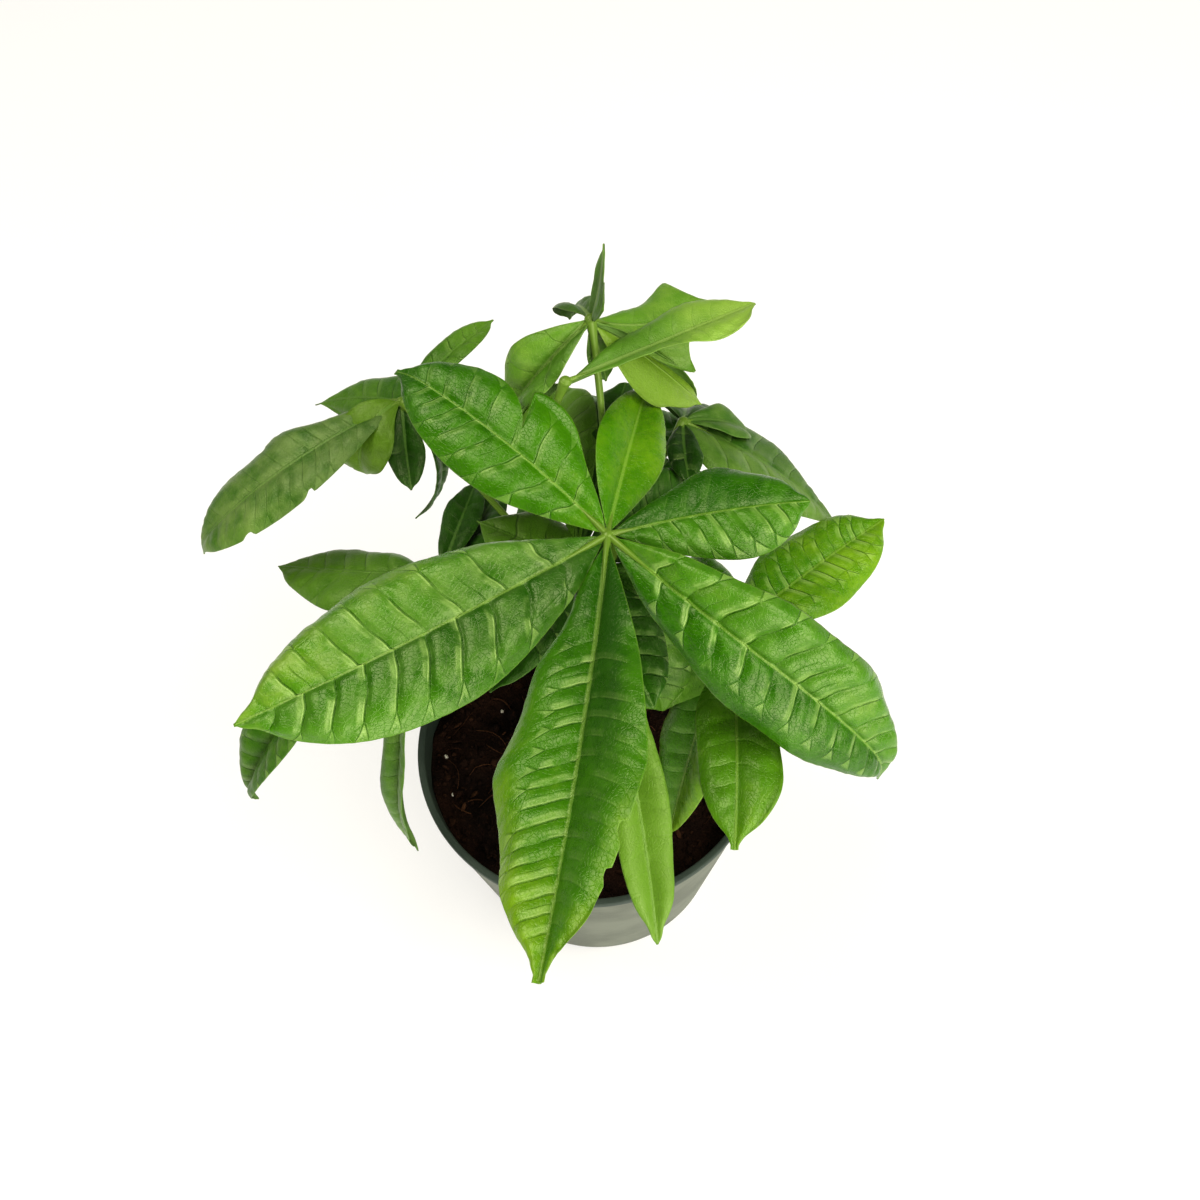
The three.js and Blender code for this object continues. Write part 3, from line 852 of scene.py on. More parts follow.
def kept_share(shape, t, right):
    """How much of the half width is left in a row. A notch is a smooth dip in it, and with
    a depth below zero a smooth bulge. A tear opens at once, along a vein, and closes
    slowly towards the tip."""
    kept = np.ones_like(t)
    for side, centre, width, depth in shape["notches"]:
        kept = kept * np.where(right == side, 1 - depth * bell(t - centre, width, 4), 1)
    for side, start, stop, left in shape["tears"]:
        opened = np.clip((t - start) / (stop - start), 0, 1) ** 0.45
        torn = (right == side) & (t > start) & (t < stop)
        kept = kept * np.where(torn, left + (1 - left) * opened, 1)
    return kept


# %% Veins
FEWEST_VEINS = 4
VEIN_CROWDING = 0.25
VEIN_WANDER = 0.3
VEIN_STAGGER = 0.42
VEIN_WAVE = 0.05


def vein_count(shape, rng, t, reach, right):
    """How many side veins lie between the hub and each point, a whole number on a vein,
    and the millimetres between two. The veins crowd together towards the tip, wander a
    little, run in a slight wave, and start higher up on the right."""
    veins = max(FEWEST_VEINS, round(shape["length"] / shape["pitch"]))
    wander = ripple(rng, 5, 9)
    count = veins * ((1 - VEIN_CROWDING) * t + VEIN_CROWDING * t**2)
    count = count + VEIN_WANDER * wander(t, right * 2.0) + VEIN_STAGGER * right
    count = count + VEIN_WAVE * np.sin(reach * 7 + right * 2) * smooth(0, 0.3, reach)
    spacing = shape["length"] / (veins * (1 - VEIN_CROWDING + 2 * VEIN_CROWDING * t))
    return veins, count, spacing


# %% Quilting
PANEL_DRAWS = [(0.5, 1.25), (-0.25, 0.75), (-1.0, 0.9), (-0.13, 0.07)]
PANEL_ARC = 0.1
GROOVE_LEVEL = 0.62
DOME_LEVEL = 0.42
TWIG_LEVEL = 0.22
VEIN_GROOVE = 1.2
TWIG_GROOVE = 0.9
QUILT = 1.15
HEM_LEVEL = 0.4
FULL_HALF = 11 * MM
CALM_REST = 0.25
CALM_BLEND = 0.08
WRINKLE = 0.07
WRINKLE_LENGTH = 3.2
SAG = 0.22
SAG_LENGTH = 17
MIDRIB_GROOVE = 0.8 * MM
MIDRIB_PROUD = 0.35 * MM
KEEL = 1.0 * MM


def relief(shape, rng, t, v, half):
    """The height of the blade and the depth of its keel, in metres, and the numbers that
    its finish needs.

    Between two veins a panel rises from both grooves, with a swell and a tilt of its own,
    and some panels have a twig of a vein in the middle. Each panel stops at an arc, so that
    a vein runs into the cusp between two arcs, and beyond the arcs the hem lies at a level
    of its own. The panels are lower in a narrow blade, where the veins crowd, and in the
    calm part near the hub. Small wrinkles and a wider sag lie over all of it."""
    right = (v > 0).astype(int)
    reach = np.abs(v)
    gap = reach * half / MM
    veins, count, spacing = vein_count(shape, rng, t, reach, right)
    share = count - np.floor(count)
    panel = np.clip(np.floor(count).astype(int) + 1, 0, veins + 3)
    draws = [rng.uniform(*limits, (2, veins + 4))[right, panel] for limits in PANEL_DRAWS]
    swell, tilt, twig, stop = draws
    twig = twig.clip(0)
    end = halves(shape["ends"], right) + halves(shape["longer"], right) * smooth(0.5, 0.75, t)
    end = end + (stop + PANEL_ARC) * np.sin(np.pi * share) ** 0.6
    groove = 1 - bell(np.minimum(share, 1 - share) * spacing, VEIN_GROOVE)
    level = (GROOVE_LEVEL + tilt * (share - 0.5)) * groove + DOME_LEVEL * swell * np.sin(np.pi * share)
    twig_groove = bell((share - 0.5) * spacing, TWIG_GROOVE) * smooth(0.6, 0.4, reach)
    level = level - TWIG_LEVEL * twig * twig_groove
    inside = smooth(-0.1, 0.2, end - reach)
    level = level * inside + HEM_LEVEL * (1 - inside) * smooth(1.0, 0.8, reach)
    crisp = halves(shape["quilt"], right) * np.clip(half / FULL_HALF, 0, 1) * spacing / USUAL["pitch"]
    lively = smooth(shape["calm"] - CALM_BLEND, shape["calm"] + CALM_BLEND, t)
    crisp = crisp * (CALM_REST + (1 - CALM_REST) * lively)
    fine = ripple(rng, 14, 2 * np.pi / WRINKLE_LENGTH)
    sag = ripple(rng, 6, 2 * np.pi / SAG_LENGTH)
    along = t * shape["length"]
    out = v * half / MM
    wrinkles = (WRINKLE * fine(along, out * 0.6) + SAG * sag(along, out)) * np.tanh(gap / 4)
    height = (QUILT * crisp * level * np.tanh(gap / 1.5) + wrinkles) * MM
    height = height - MIDRIB_GROOVE * bell(gap, 1.7) * (1 - 0.6 * t)
    height = height + MIDRIB_PROUD * bell(gap, 0.8 - 0.35 * t) * (1 - 0.7 * t)
    keel = KEEL * bell(gap, 1.1 - 0.5 * t) * (1 - 0.75 * t)
    numbers = {
        "phase": count,
        "pitch": spacing,
        "arc": (end - reach) * half / MM,
        "extra": 0.7 * twig * smooth(0.62, 0.45, reach),
        "crisp": np.clip(crisp, 0, 1.2),
    }
    return height, keel, numbers


# %% The blade's sheet
SHEET = 0.45 * MM
SHEET_EDGE = 0.22 * MM
CURL = 24
FEWEST_ROWS = 24
ROW_LEAN = 0.33
MARGIN_LEAN = 0.14
WAVE_LENGTH = 38
WAVY_HALF = 15 * MM
EDGE_WIDTH = 0.7 * MM
RIB_BLEND = 1.5 * MM


def curled(reach, fold, curl, hem):
    """The angles, in degrees, to the point at this reach and of the blade there. The blade
    is flat up to the hem, and from there its slope falls off as an s-curve."""
    x = np.clip((reach - hem) / (1 - hem), 0, 1)
    chord = fold - curl * (x**3 - x**4 / 2) / np.maximum(reach, 0.01)
    slope = fold - curl * (3 * x**2 - 2 * x**3) / (1 - hem)
    return chord, slope


def sheet_faces(rows, columns):
    """Quads over the upper grid, the same turned over for the under one, and a band round
    the edge of the two."""
    total = (rows + 1) * (columns + 1)
    number = np.arange(total).reshape(rows + 1, columns + 1)
    rim = np.concatenate([number[0, :-1], number[:-1, -1], number[-1, :0:-1], number[:0:-1, 0]])
    following = np.roll(rim, -1)
    band = np.stack([rim, rim + total, following + total, following], -1)
    upper = grid_faces(rows, columns)
    return [upper, upper[:, ::-1] + total, band]


def add_blade(pile, hub, shape, rng, spacing, columns):
    """The point at share t along and v across, from -1 to 1. The row leans, so its share
    of the midrib is s = t + (0.33 |v| + 0.14 |v| to the fourth) of the half width over the
    length. Columns lie closest at the midrib and at the margin. Notches, tears and bulges
    change |v| first, most at the margin. From the midrib the point goes out by half width
    times |v|, raised by the fold and sinking with the curl, then up by the waves of the
    margin and the relief."""
    rows = max(FEWEST_ROWS, round(shape["length"] / spacing))
    w = np.linspace(-1, 1, columns + 1)
    across_share = np.sign(w) * (np.abs(w) - 0.5 * np.sin(2 * np.pi * np.abs(w)) / (2 * np.pi))
    t, v = np.meshgrid(np.linspace(0, 1, rows + 1), across_share, indexing="ij")
    right = (v > 0).astype(int)
    kept = kept_share(shape, t, right)
    reach = (np.maximum(np.abs(v), 0.001) ** -4 + kept**-4 - 1) ** -0.25 * (v != 0)
    v = np.sign(v) * reach
    lean = (ROW_LEAN * reach + MARGIN_LEAN * reach**4) * half_width(shape, t) / (shape["length"] * MM)
    s = np.clip(t + lean, 0, 1)
    half = half_width(shape, s)
    out = (half * reach)[..., None]
    across, up = directions(shape, s)[1:]
    sign = np.where(v < 0, -1, 1)[..., None]
    chord, slope = curled(reach, shape["fold"], CURL, halves(shape["hem"], right))
    chord = np.radians(chord)[..., None]
    slope = np.radians(slope)[..., None] * (v != 0)[..., None]
    base = midrib(shape, hub, s) + across * sign * out * np.cos(chord) + up * out * np.sin(chord)
    outward = up * np.cos(slope) - sign * across * np.sin(slope)
    height, keel, numbers = relief(shape, rng, t, v, half)
    shift = rng.uniform(0, 2 * np.pi, 2)[right]
    wave = shape["wave"] * MM * reach**2.2 * np.clip(half / WAVY_HALF, 0, 1)
    wave = wave * np.sin(2 * np.pi * max(2, shape["length"] / WAVE_LENGTH) * s + shift)
    upper = base + outward * (height + wave)[..., None]
    edge = smooth(EDGE_WIDTH, 0, half * (kept - reach))
    under = upper - outward * (SHEET + (SHEET_EDGE - SHEET) * edge + keel)[..., None]
    points = np.concatenate([upper.reshape(-1, 3), under.reshape(-1, 3)])
    flat = np.stack([s * shape["length"] * MM, v * half], -1).reshape(-1, 2) + rng.uniform(-1, 1, 2)
    crossing = smooth(-RIB_BLEND, RIB_BLEND, v * half)
    # The two halves' tones are partly painted light and shade: the half that faces the light is painted
    # lighter than the other.
    tone = halves(shape["tone"], crossing) + shape["fresh"] * (s - 0.5)
    fields = {
        **numbers,
        "beside": reach * half / MM,
        "margin": (kept - reach) * half / MM,
        "along": s,
        "tone": tone + shape["bright_hem"] * smooth(0.5, 0.9, reach),
        "bold": shape["rib"],
        "young": shape["young"],
        "milky": halves(shape["milky"], crossing),
        "lit_side": shape["lit_side"],
    }
    for name, value in fields.items():
        fields[name] = np.tile(np.broadcast_to(value, s.shape).ravel(), 2)
    fields["under"] = np.repeat([0.0, 1.0], s.size)
    pile.add(points, sheet_faces(rows, columns), np.tile(flat, (2, 1)), **fields)


# %% Stalks and hubs
PETIOLULE = 1.15 * MM
PETIOLULE_END = 0.16
PETIOLE_RADIUS = 1.3 * MM
PETIOLE_BOW_SHARE = 0.45
USUAL_BOW = (0, 0, 8)
FOOT_LENGTH = 6 * MM
HUB_RADIUS = 2.3 * MM


def add_petiolule(pile, hub, shape):
    """The short stalk of a leaflet: a tube from inside the hub along the under side of the
    midrib, into which it thins out."""
    stretch = np.linspace(-0.005, PETIOLULE_END, 14)
    track = midrib(shape, hub, np.clip(stretch, 0, 1))
    track[0] -= directions(shape, np.zeros(1))[0][0] * 1.2 * MM
    down = directions(shape, np.clip(stretch, 0, 1))[2]
    track = track - down * (0.35 * MM + 0.4 * MM * smooth(0, PETIOLULE_END, stretch)[:, None])
    thinning = 1 - 0.72 * smooth(0.02, PETIOLULE_END, stretch)
    radius = PETIOLULE * np.clip(shape["width"] / 32, 0.6, 1.1) * thinning
    add_tube(pile, swept(track, radius, 12), stalk=1.0, tone=0.6)


def add_petiole(pile, leaf):
    """A quadratic curve from inside the stem to the hub. The stalk is swollen where it
    leaves the stem and again just below the hub, where it can turn the leaf to the light.
    The hub is a flattened ball."""
    seat = stem_centre(leaf["stem"], leaf["height"] * MM)
    hub = np.array(leaf["hub"]) * MM
    middle = seat + (hub - seat) * PETIOLE_BOW_SHARE + np.array(leaf.get("bow", USUAL_BOW)) * MM
    u = np.linspace(0, 1, 70)[:, None]
    track = (1 - u) ** 2 * seat + 2 * u * (1 - u) * middle + u**2 * hub
    gone = np.linalg.norm(track - seat, axis=1)
    left = np.linalg.norm(track - hub, axis=1)
    foot = bell(np.maximum(0, gone - FOOT_LENGTH), 4 * MM)
    radius = PETIOLE_RADIUS * (1 + 0.9 * foot + 0.55 * bell(left, 6 * MM))
    add_tube(pile, swept(track, radius, 16), stalk=1.0, tone=0.45)
    up = np.linspace(-0.5, 0.5, 11) * np.pi
    rise = HUB_RADIUS * 0.75 * np.sin(up) - 0.4 * MM
    knob = hub + np.stack([0 * up, 0 * up, rise], -1)
    add_tube(pile, swept(knob, HUB_RADIUS * np.cos(up).clip(0.05), 18), stalk=1.0, tone=0.7)


# %% A leaf
FULL_WIDTH = 45
LEAF_FIELDS = ("phase", "pitch", "arc", "extra", "crisp", "beside", "margin", "along", "tone", "bold",
               "young", "milky", "lit_side", "under", "stalk")


def make_leaf(leaf, rng):
    """The stalk, the hub and all the leaflets of a leaf in one pile. A narrow leaflet gets
    fewer columns than a wide one."""
    pile = Pile(*LEAF_FIELDS)
    add_petiole(pile, leaf)
    for shape in leaf["leaflets"]:
        columns = 2 * max(8, round(leaf["columns"] * min(1, shape["width"] / FULL_WIDTH) / 2))
        add_blade(pile, leaf["hub"], shape, rng, leaf["spacing"], columns)
        add_petiolule(pile, leaf["hub"], shape)
    return pile


# %% [markdown]
# ## The leaf's finish
#
# A fresh leaf has a wax skin over green tissue: the colour is matt and the gloss lies on
# top. The midrib and the stalks hold little green, so they are pale. A vein's groove is
# painted dark as shade, and the lip where the panel beside it catches the light gets a
# painted highlight. The under side is greyer and duller, and an old leaf is darker. The mesh
# carries these as numbers, and one function mixes them.
#
# A crease is where the vein count is whole, and beyond the panel's arc it parts into two
# arms with a facet between them that is painted light as a highlight. The mesh only says how
# the count runs, so the line is as fine as the picture, however coarse the grid.

# %% Painted shade in the creases and painted light on the panels
def crease_shades(leaf, on_blade):
    """Painted shade: dark lines in the grooves of the veins, their twigs, the arcs and the two
    arms of each fork, and the painted highlight on the facet between two arms. All widths are
    in millimetres."""
    count = leaf.field("phase")
    arc = leaf.field("arc")
    aside = (count - count.maths("ROUND")).maths("ABSOLUTE")
    near = aside * leaf.field("pitch")
    halfway = (0.5 - aside) * leaf.field("pitch")
    vein = (1 - near.step(0.05, 0.42)) * arc.step(-0.6, 0.3)
    twig = (1 - halfway.step(0.02, 0.3)) * leaf.field("extra")
    loop = (1 - arc.maths("ABSOLUTE").step(0.05, 0.5)) * 0.25
    arm = arc * -0.6 - near
    beyond = (1 - arc.step(-0.4, 0.2)) * arc.step(-4.4, -3.0)
    fork = (1 - arm.maths("ABSOLUTE").step(0.05, 0.4)) * beyond * 0.8
    lit_facet = arm.step(0.0, 0.5) * beyond * on_blade
    lines = vein.maths("MAXIMUM", twig).maths("MAXIMUM", loop).maths("MAXIMUM", fork)
    return lines * on_blade, lit_facet


def vein_light(leaf):
    """The part of a panel that catches the light: a narrow lip beside the vein and a wider
    streak beyond it, on one side of each vein only."""
    count = leaf.field("phase")
    arc = leaf.field("arc")
    aside = (count - count.maths("ROUND")) * leaf.field("pitch") * leaf.field("lit_side")
    lip = (1 - (aside - 0.6).maths("ABSOLUTE").step(0.1, 0.5)) * arc.step(-0.5, 1.0)
    streak = (1 - (aside - 1.7).maths("ABSOLUTE").step(0.3, 1.6)) * arc.step(-1.0, 2.5)
    return lip * 0.4 + streak * 0.28


# %% Leaf finish
YOUNG_GREEN = shade(150, 178, 56)
SHEEN_HAZE_GREEN = shade(142, 158, 98)
LIT_GREEN = shade(176, 206, 120)
UNDER_GREENS = (shade(70, 100, 44), shade(92, 124, 58))
STALK_GREENS = (shade(88, 120, 36), shade(120, 150, 58))
WAX_TINT = (1.0, 1.0, 0.68, 1.0)


def leaf_finish(name, greens, gloss, wax, painted_shine):
    """A deep, a middle and a light green mixed by the leaflet's tone and by cloudy patches,
    then the painted highlights on the panels, the painted shade of the creases, the margin,
    the midrib, the under side and the stalk laid over them in turn. The fourth green is the
    midrib's."""
    deep, middle, light, rib_colour = [shade(*green) for green in greens]
    leaf = Finish(name)
    under = leaf.field("under")
    stalk = leaf.field("stalk")
    quilted = leaf.field("crisp").step(0.1, 0.7)
    # Patches where the painted highlights and the painted shade of the creases show, and where they
    # fade.
    painted_light_patches = leaf.noise(leaf.flat(), 95, 2)
    clouds = leaf.noise(leaf.flat(), 42, 3)
    patches = leaf.noise(leaf.flat(), 120, 3)
    mottle = leaf.noise(leaf.flat(), 420, 4, 0.6)
    cells = leaf.cells(leaf.flat((1, 1.3, 1)), 620, "DISTANCE_TO_EDGE")
    crease_shade, lit_facet = crease_shades(leaf, (1 - stalk) * (painted_light_patches.step(0.32, 0.6) * 0.8 + 0.2) * quilted)
    shine = vein_light(leaf) * painted_shine * painted_light_patches.step(0.4, 0.56) * quilted * (1 - stalk)
    half_rib = (0.62 - leaf.field("along") * 0.4) * leaf.field("bold")
    rib = 1 - (leaf.field("beside") - half_rib).step(-0.25, 0.25)
    edge = 1 - leaf.field("margin").step(0.1, 0.5)
    tone = leaf.field("tone") + (clouds - 0.5) * 0.55 + (patches - 0.5) * 0.45 + (mottle - 0.5) * 0.3
    colour = leaf.mix(tone.step(0.0, 0.55), deep, middle)
    colour = leaf.mix(tone.step(0.45, 1.05), colour, light)
    colour = leaf.mix(leaf.field("young"), colour, YOUNG_GREEN)
    # Painted sheen: a pale grey-green haze for the wax's reflection, in patches.
    colour = leaf.mix(leaf.field("milky") * patches.step(0.2, 0.7), colour, SHEEN_HAZE_GREEN)
    # Painted highlight: the lips, streaks and facets that catch the light are mixed towards a pale
    # green.
    colour = leaf.mix(shine.maths("MAXIMUM", lit_facet * 0.3), colour, LIT_GREEN)
    # Painted shade in the grooves of the veins, twigs, arcs and fork arms.
    colour = leaf.mix(crease_shade * 0.5, colour, deep)
    colour = leaf.mix(edge * 0.22, colour, rib_colour)
    colour = leaf.mix(rib * 0.42, colour, rib_colour)
    dull = leaf.mix(clouds.step(0.3, 0.7), *UNDER_GREENS)
    colour = leaf.mix(under * (0.75 - leaf.field("young") * 0.7), colour, dull)
    colour = leaf.mix(stalk, colour, leaf.mix(mottle.step(0.35, 0.7), *STALK_GREENS))
    rough = gloss + (patches - 0.5) * 0.3 + (mottle - 0.5) * 0.15 + under * 0.25
    fine = leaf.bump(mottle * 0.5 + patches * 0.6 + cells.step(0.0, 0.12) * 0.25, 0.2 * MM)
    return leaf.surface(
        Base_Color=colour,
        Roughness=rough,
        Specular_IOR_Level=wax,
        Specular_Tint=WAX_TINT,
        Normal=leaf.bump(shine - crease_shade + rib * 0.5, 0.3 * MM, fine),
    )


# Each look holds the deep, middle, light and midrib greens, then the roughness, the wax's specular
# level and how strong the painted highlights are.
LEAF_LOOKS = {
    "leaf_bright": ([(34, 84, 2), (66, 122, 4), (122, 162, 26), (142, 176, 76)], 0.29, 0.5, 1.0),
    "leaf_pale": ([(54, 92, 20), (88, 134, 34), (134, 168, 66), (150, 176, 98)], 0.4, 0.5, 0.6),
    "leaf_dark": ([(24, 60, 6), (48, 96, 12), (96, 138, 40), (108, 146, 66)], 0.38, 0.42, 0.5),
}
leaf_finishes = {name: leaf_finish(name, *look) for name, look in LEAF_LOOKS.items()}
print("the leaves have", len(leaf_finishes), "finishes")

# %% [markdown]
# ## The leaves
#
# Each leaf is its hub, the stem and the height that its stalk leaves from, how the stalk
# bows where that isn't the usual way, its slot, the millimetres between two rows of its
# grid, the columns of a wide leaflet, and its leaflets one by one. A leaflet's first five
# numbers are its heading, rise, droop, length and width. The big front leaf has the finest
# grid, as it is seen from near, and the hidden leaf at the back has the coarsest.

# %% The table of leaves
LEAVES = {
    "leaf_front": dict(
        hub=(12, -11, 272), stem=1, height=210, bow=(6, 0, 8), slot="leaf_bright",
        spacing=0.85, columns=50, leaflets=[
            leaflet(216, 7, 18, 134, 52, bend=-18, roll=14, fold=2, belly=0.55, tone=(0.22, 0.46),
                    quilt=(1.0, 0.75), calm=0.12, hem=(0.45, 0.6), ends=(0.72, 0.76), pitch=12,
                    wave=0.5, fresh=0.5, bright_hem=0.1, milky=(0.12, 0.25), lit_side=1, blunt=0.8),
            leaflet(-98, 0, -4, 151, 50, bend=-4, roll=-25, fold=20, belly=0.59, tone=(0.2, 0.42),
                    quilt=(0.4, 0.8), calm=0.27, hem=(0.3, 0.5), ends=(0.8, 0.4), longer=(0, 0.4),
                    pitch=7, fresh=0.8, bright_hem=0.2, angular=0.3, blunt=2.0, rib=1.4,
                    notches=((0, 0.66, 0.02, 0.1), (0, 0.75, 0.015, 0.08), (0, 0.87, 0.06, -0.18))),
            leaflet(-51, 0, 69, 148, 41, bend=48, roll=-44, fold=10, belly=0.53, tone=(0.48, 0.22),
                    milky=(0.12, 0.0), quilt=(1.2, 1.0), calm=0.14, hem=(0.72, 0.45), ends=(0.8, 0.52),
                    pitch=10.5, wave=0.6, hook=25, fresh=0.0, notches=((1, 0.93, 0.015, 0.25),)),
            leaflet(9, 7, 18, 70, 35, roll=-10, fold=0, belly=0.61, tone=(0.12, 0.4), milky=(0.0, 0.08),
                    quilt=(0.3, 1.2), ends=(0.75, 0.7), pitch=7),
            leaflet(76, -1, 11, 75, 26, roll=-25, fold=18, tone=0.65, quilt=0.15),
            leaflet(130, 13, 10, 101, 39, bend=11, roll=11, fold=7, belly=0.54, tone=(0.35, 0.4),
                    quilt=(0.5, 0.4), wave=0.5, fresh=-0.4, rib=0.7, notches=((1, 0.33, 0.12, -0.2),),
                    tears=((1, 0.44, 0.56, 0.1),), blunt=1.4, hook=25),
        ],
    ),
    "leaf_back": dict(
        hub=(11, 63, 298), stem=1, height=214, bow=(5, 0, 0), slot="leaf_pale",
        spacing=1.2, columns=32, leaflets=[
            leaflet(211, -28, 34, 46, 26, bend=-28, roll=12, fold=39, belly=0.61, tone=(0.35, 0.6),
                    rib=1.6, quilt=0.5),
            leaflet(24, 72, -13, 30, 13, bend=15, roll=17, belly=0.3, tone=0.3, quilt=0.3,
                    notches=((0, 0.3, 0.3, 0.5), (1, 0.25, 0.22, -0.6))),
            leaflet(17, -38, -45, 52, 36, bend=11, roll=-24, fold=-14, belly=0.8, angular=1, tone=0.6,
                    quilt=0.3,
                    notches=((0, 0.92, 0.12, -0.6), (1, 0.5, 0.12, -0.3), (1, 0.86, 0.24, 0.65))),
            leaflet(-4, -42, 14, 61, 22, bend=5, roll=-9, fold=-8, tone=0.5, young=0.4, quilt=0.2,
                    notches=((0, 0.5, 0.5, 0.35), (1, 0.3, 0.3, -0.35))),
            leaflet(4, -38, 31, 66, 12, bend=8, roll=40, fold=25, tone=0.6, quilt=0.2),
            leaflet(105, -15, 54, 42, 16, tone=0.2),
            leaflet(150, -50, 25, 46, 16, tone=0.0),
            leaflet(-50, -72, 6, 27, 12, tone=0.2),
        ],
    ),
    "leaf_crossing": dict(
        hub=(1, 42, 290), stem=2, height=212, bow=(-15, 0, 2), slot="leaf_pale",
        spacing=1.0, columns=36, leaflets=[
            leaflet(18, 8, 8, 73, 25, bend=7, roll=12, fold=19, belly=0.62, tone=(0.6, 0.7), fresh=0.9,
                    rib=2.0, quilt=0.3, notches=((1, 0.75, 0.2, -0.3), (1, 0.4, 0.26, 0.3))),
            leaflet(112, -48, 10, 30, 12, tone=0.3),
        ],
    ),
    "leaf_right_back": dict(
        hub=(45, 72, 232), stem=1, height=194, slot="leaf_dark",
        spacing=1.2, columns=36, leaflets=[
            leaflet(-9, -25, 30, 91, 50, bend=-10, roll=14, fold=2, belly=0.3, tone=(0.55, 0.85),
                    milky=0.2, rib=1.6, quilt=0.4),
            leaflet(15, -5, 58, 37, 17, tone=0.6, milky=0.2, quilt=0.2),
            leaflet(-96, 14, 20, 34, 14, bend=10, roll=7, tone=0.1),
            leaflet(80, -20, 60, 52, 20, tone=0.3, quilt=0.5),
        ],
    ),
    "leaf_left_back": dict(
        hub=(-65, 86, 238), stem=2, height=196, bow=(0, 0, 0), slot="leaf_dark",
        spacing=1.2, columns=36, leaflets=[
            leaflet(215, 9, 54, 107, 35, bend=-17, fold=2, tone=0.55, milky=0.4, pitch=5.5, quilt=0.5,
                    hook=35,
                    notches=((0, 0.4, 0.015, 0.1), (1, 0.48, 0.02, 0.14), (1, 0.3, 0.015, 0.08),
                             (0, 0.66, 0.02, 0.1))),
            leaflet(144, -18, 16, 52, 27, bend=15, roll=27, fold=-13, belly=0.25, tone=0.7, quilt=0.4,
                    notches=((0, 0.5, 0.4, -0.4),)),
            leaflet(226, 30, 145, 44, 20, roll=20, fold=11, tone=0.6, young=0.25, quilt=0.3,
                    notches=((0, 0.5, 0.4, -0.3), (1, 0.5, 0.4, -0.2))),
            leaflet(-88, -25, 38, 36, 15, tone=0.2, quilt=0.5),
            leaflet(47, 13, 25, 56, 14, bend=4, tone=0.8),
            leaflet(-9, -54, 80, 81, 10, bend=9, roll=-24, tone=0.3),
        ],
    ),
    "leaf_left": dict(
        hub=(-53, 25, 205), stem=2, height=192, slot="leaf_dark",
        spacing=1.2, columns=36, leaflets=[
            leaflet(170, -5, 13, 73, 37, bend=-12, roll=-9, fold=-4, angular=0.4, tone=0.9, quilt=0.4),
            leaflet(225, 12, 80, 132, 29, bend=-17, roll=-3, fold=30, tone=0.6, hook=30),
            leaflet(-109, -9, 100, 147, 17, bend=-4, roll=-32, fold=38, tone=0.75, quilt=0.5, hook=-20),
            leaflet(73, 3, 20, 53, 16, bend=5, tone=0.3, quilt=0.5),
            leaflet(58, -7, 13, 60, 18, bend=20, tone=0.3, quilt=0.5),
        ],
    ),
    "leaf_right": dict(
        hub=(55, -11, 205), stem=1, height=182, slot="leaf_bright",
        spacing=1.1, columns=40, leaflets=[
            leaflet(46, -14, -10, 95, 38, bend=-11, roll=-5, fold=3, tone=(0.6, 0.7), quilt=0.9,
                    ends=0.5, pitch=7),
            leaflet(-118, -36, 34, 92, 32, roll=-32, fold=17, belly=0.44, tone=(0.7, 0.5), quilt=0.3),
            leaflet(-91, 23, 34, 91, 29, bend=-8, roll=-3, tone=0.45, young=0.1, quilt=0.3, fresh=0.2,
                    blunt=1.4, notches=((0, 0.75, 0.2, -0.25),)),
            leaflet(-170, -22, 62, 50, 22, tone=0.5, quilt=0.5),
            leaflet(-42, 5, 40, 70, 26, tone=0.6, quilt=0.5),
            leaflet(100, 0, 30, 50, 20, tone=0.4, quilt=0.5),
        ],
    ),
    "leaf_under_front": dict(
        hub=(1, 2, 236), stem=0, height=208, slot="leaf_dark",
        spacing=1.2, columns=36, leaflets=[
            leaflet(-76, 4, 45, 137, 20, bend=-11, roll=4, fold=20, belly=0.65, tone=1.0, young=0.1,
                    quilt=0.3),
            leaflet(150, 14, 16, 42, 32, fold=6, belly=0.4, tone=2.0, quilt=0.6),
            leaflet(89, 15, 29, 89, 27, bend=9, roll=10, fold=17, belly=0.75, tone=1.1, quilt=0.5,
                    notches=((0, 0.6, 0.35, -0.7),)),
            leaflet(76, 14, 22, 88, 22, bend=-2, belly=0.7, tone=0.3, quilt=0.3),
            leaflet(45, 10, 43, 77, 22, bend=-4, roll=-19, fold=18, tone=0.4,
                    notches=((1, 0.2, 0.3, -1.4),)),
            leaflet(-122, 15, 25, 60, 22, tone=0.2, quilt=0.5),
            leaflet(-47, -14, 68, 70, 32, bend=-7, roll=-18, fold=18, tone=0.7,
                    notches=((0, 0.16, 0.3, -1.5),)),
            leaflet(-66, 8, 40, 60, 30, roll=-6, tone=0.3),
        ],
    ),
    "leaf_back_low": dict(
        hub=(15, 72, 212), stem=0, height=190, slot="leaf_dark",
        spacing=1.3, columns=32, leaflets=[
            leaflet(90, 0, 60, 80, 28, tone=0.4, quilt=0.5),
            leaflet(40, 0, 60, 70, 26, tone=0.4, quilt=0.5),
            leaflet(140, 0, 60, 74, 26, tone=0.4, quilt=0.5),
            leaflet(190, -10, 55, 54, 22, tone=0.3, quilt=0.5),
            leaflet(-5, -10, 55, 52, 20, tone=0.3, quilt=0.5),
        ],
    ),
}

# %% Leaves
LEAF_SEED = 100
for number, (name, leaf) in enumerate(LEAVES.items()):
    leaf_pile = make_leaf(leaf, np.random.default_rng(LEAF_SEED + number))
    foliage = leaf_pile.piece(name.replace("leaf", "foliage"), leaf_finishes[leaf["slot"]])
    place(foliage, name)

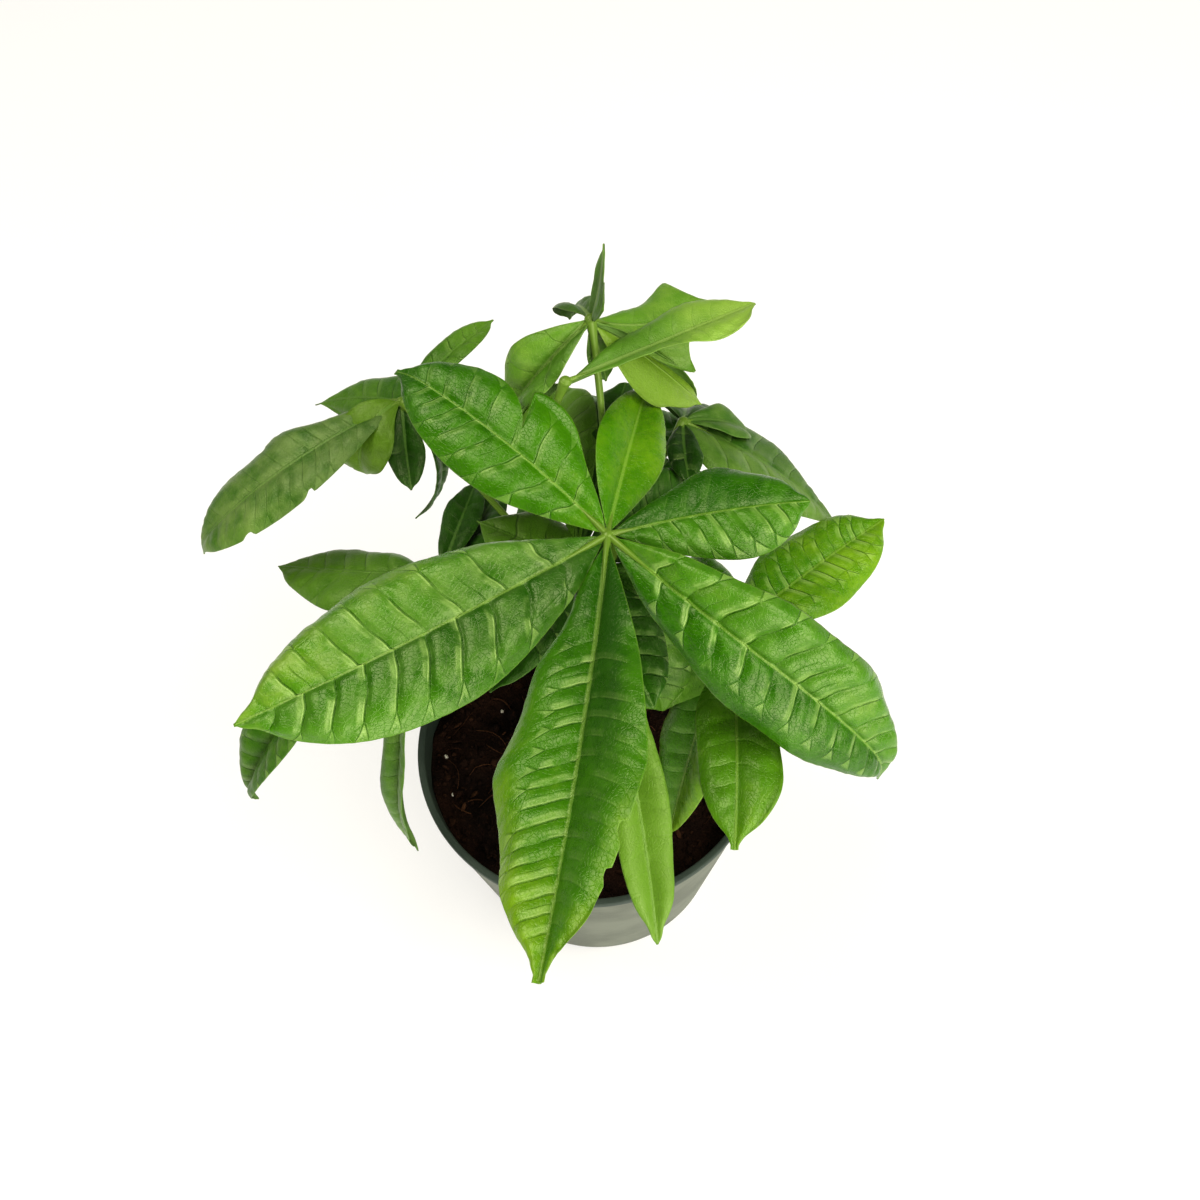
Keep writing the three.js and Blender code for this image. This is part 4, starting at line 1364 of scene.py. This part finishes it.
# %% [markdown]
# ## Floor and light
#
# The plant stands on a white floor in a bright room. One wide soft lamp hangs behind it at
# the left, one stands at the right like a window, and a low one lights the hanging leaflets
# from the front. The first two are where the flat panels mirror them towards the camera,
# which gives the wax its long highlights. Pale walls fill the shade, and the floor glows a
# little, as a white floor in a bright room is lit from all sides.

# %% Floor
FLOOR_HALF = 3.0
FLOOR_GLOW = 0.48
FLOOR_TINT = (1.0, 0.985, 0.97, 1.0)
floor_mesh = bpy.data.meshes.new("floor")
floor_corners = [(x * FLOOR_HALF, y * FLOOR_HALF, 0) for x, y in ((-1, -1), (1, -1), (1, 1), (-1, 1))]
floor_mesh.from_pydata(floor_corners, [], [(0, 1, 2, 3)])
floor = bpy.data.objects.new("floor", floor_mesh)
bpy.context.scene.collection.objects.link(floor)
card = Finish("floor_card")
cloud = card.noise(card.place(), 3, 2)
floor_mesh.materials.append(card.surface(
    Base_Color=card.mix(cloud, shade(186, 185, 183), shade(190, 189, 188)),
    Roughness=0.8,
    Specular_IOR_Level=0.2,
    Emission_Color=FLOOR_TINT,
    Emission_Strength=FLOOR_GLOW,
))

# %% Lamps
LAMP_COLOUR = (1.0, 0.98, 0.9)
LAMP_AIM = np.array([0, 0, 0.15])
LAMPS = {
    "ceiling": dict(azimuth=150, elevation=66, distance=1.6, size=1.0, power=13),
    "window": dict(azimuth=-30, elevation=54, distance=1.6, size=1.2, power=18),
    "front": dict(azimuth=-72, elevation=14, distance=2.0, size=1.4, power=30),
}


def soft_light(name, azimuth, elevation, distance, size, power):
    """A square lamp that looks at the plant from an azimuth and elevation in degrees."""
    light = bpy.data.lights.new(name, "AREA")
    light.shape = "SQUARE"
    light.size = size
    light.energy = power
    light.color = LAMP_COLOUR
    lamp = bpy.data.objects.new(name, light)
    turn = math.radians(azimuth)
    dip = math.radians(elevation)
    way = np.array([math.cos(dip) * math.cos(turn), math.cos(dip) * math.sin(turn), math.sin(dip)])
    side = np.array([-math.sin(turn), math.cos(turn), 0])
    lamp.matrix_world = aimed(way * distance + LAMP_AIM, side, np.cross(way, side), way)
    bpy.context.scene.collection.objects.link(lamp)
    lamp.visible_camera = False


for name, numbers in LAMPS.items():
    soft_light(name, **numbers)
print("the scene has", len(LAMPS), "lamps")

# %% Room
ROOM_COLOUR = (1.0, 0.96, 0.84, 1.0)
WALLS_END = 0.1
CEILING_START = 0.5
WALL_LIGHT = 0.42
CEILING_LIGHT = 0.06
room = Nodes(bpy.data.worlds.new("room"))
outward = room.node("ShaderNodeTexCoord", output="Generated")
height = room.node("ShaderNodeSeparateXYZ", {}, {"Vector": outward}, output="Z")
strength = room.node("ShaderNodeMapRange", {}, {
    "Value": height,
    "From Min": WALLS_END,
    "From Max": CEILING_START,
    "To Min": WALL_LIGHT,
    "To Max": CEILING_LIGHT,
})
glow = room.node("ShaderNodeBackground", {}, {"Color": ROOM_COLOUR, "Strength": strength})
room.node("ShaderNodeOutputWorld", {}, {"Surface": glow})
bpy.context.scene.world = room.owner
bpy.context.scene.view_settings.view_transform = "Standard"
bpy.context.scene.view_settings.look = "Medium High Contrast"
print("the walls shine with", WALL_LIGHT, "and the ceiling with", CEILING_LIGHT)
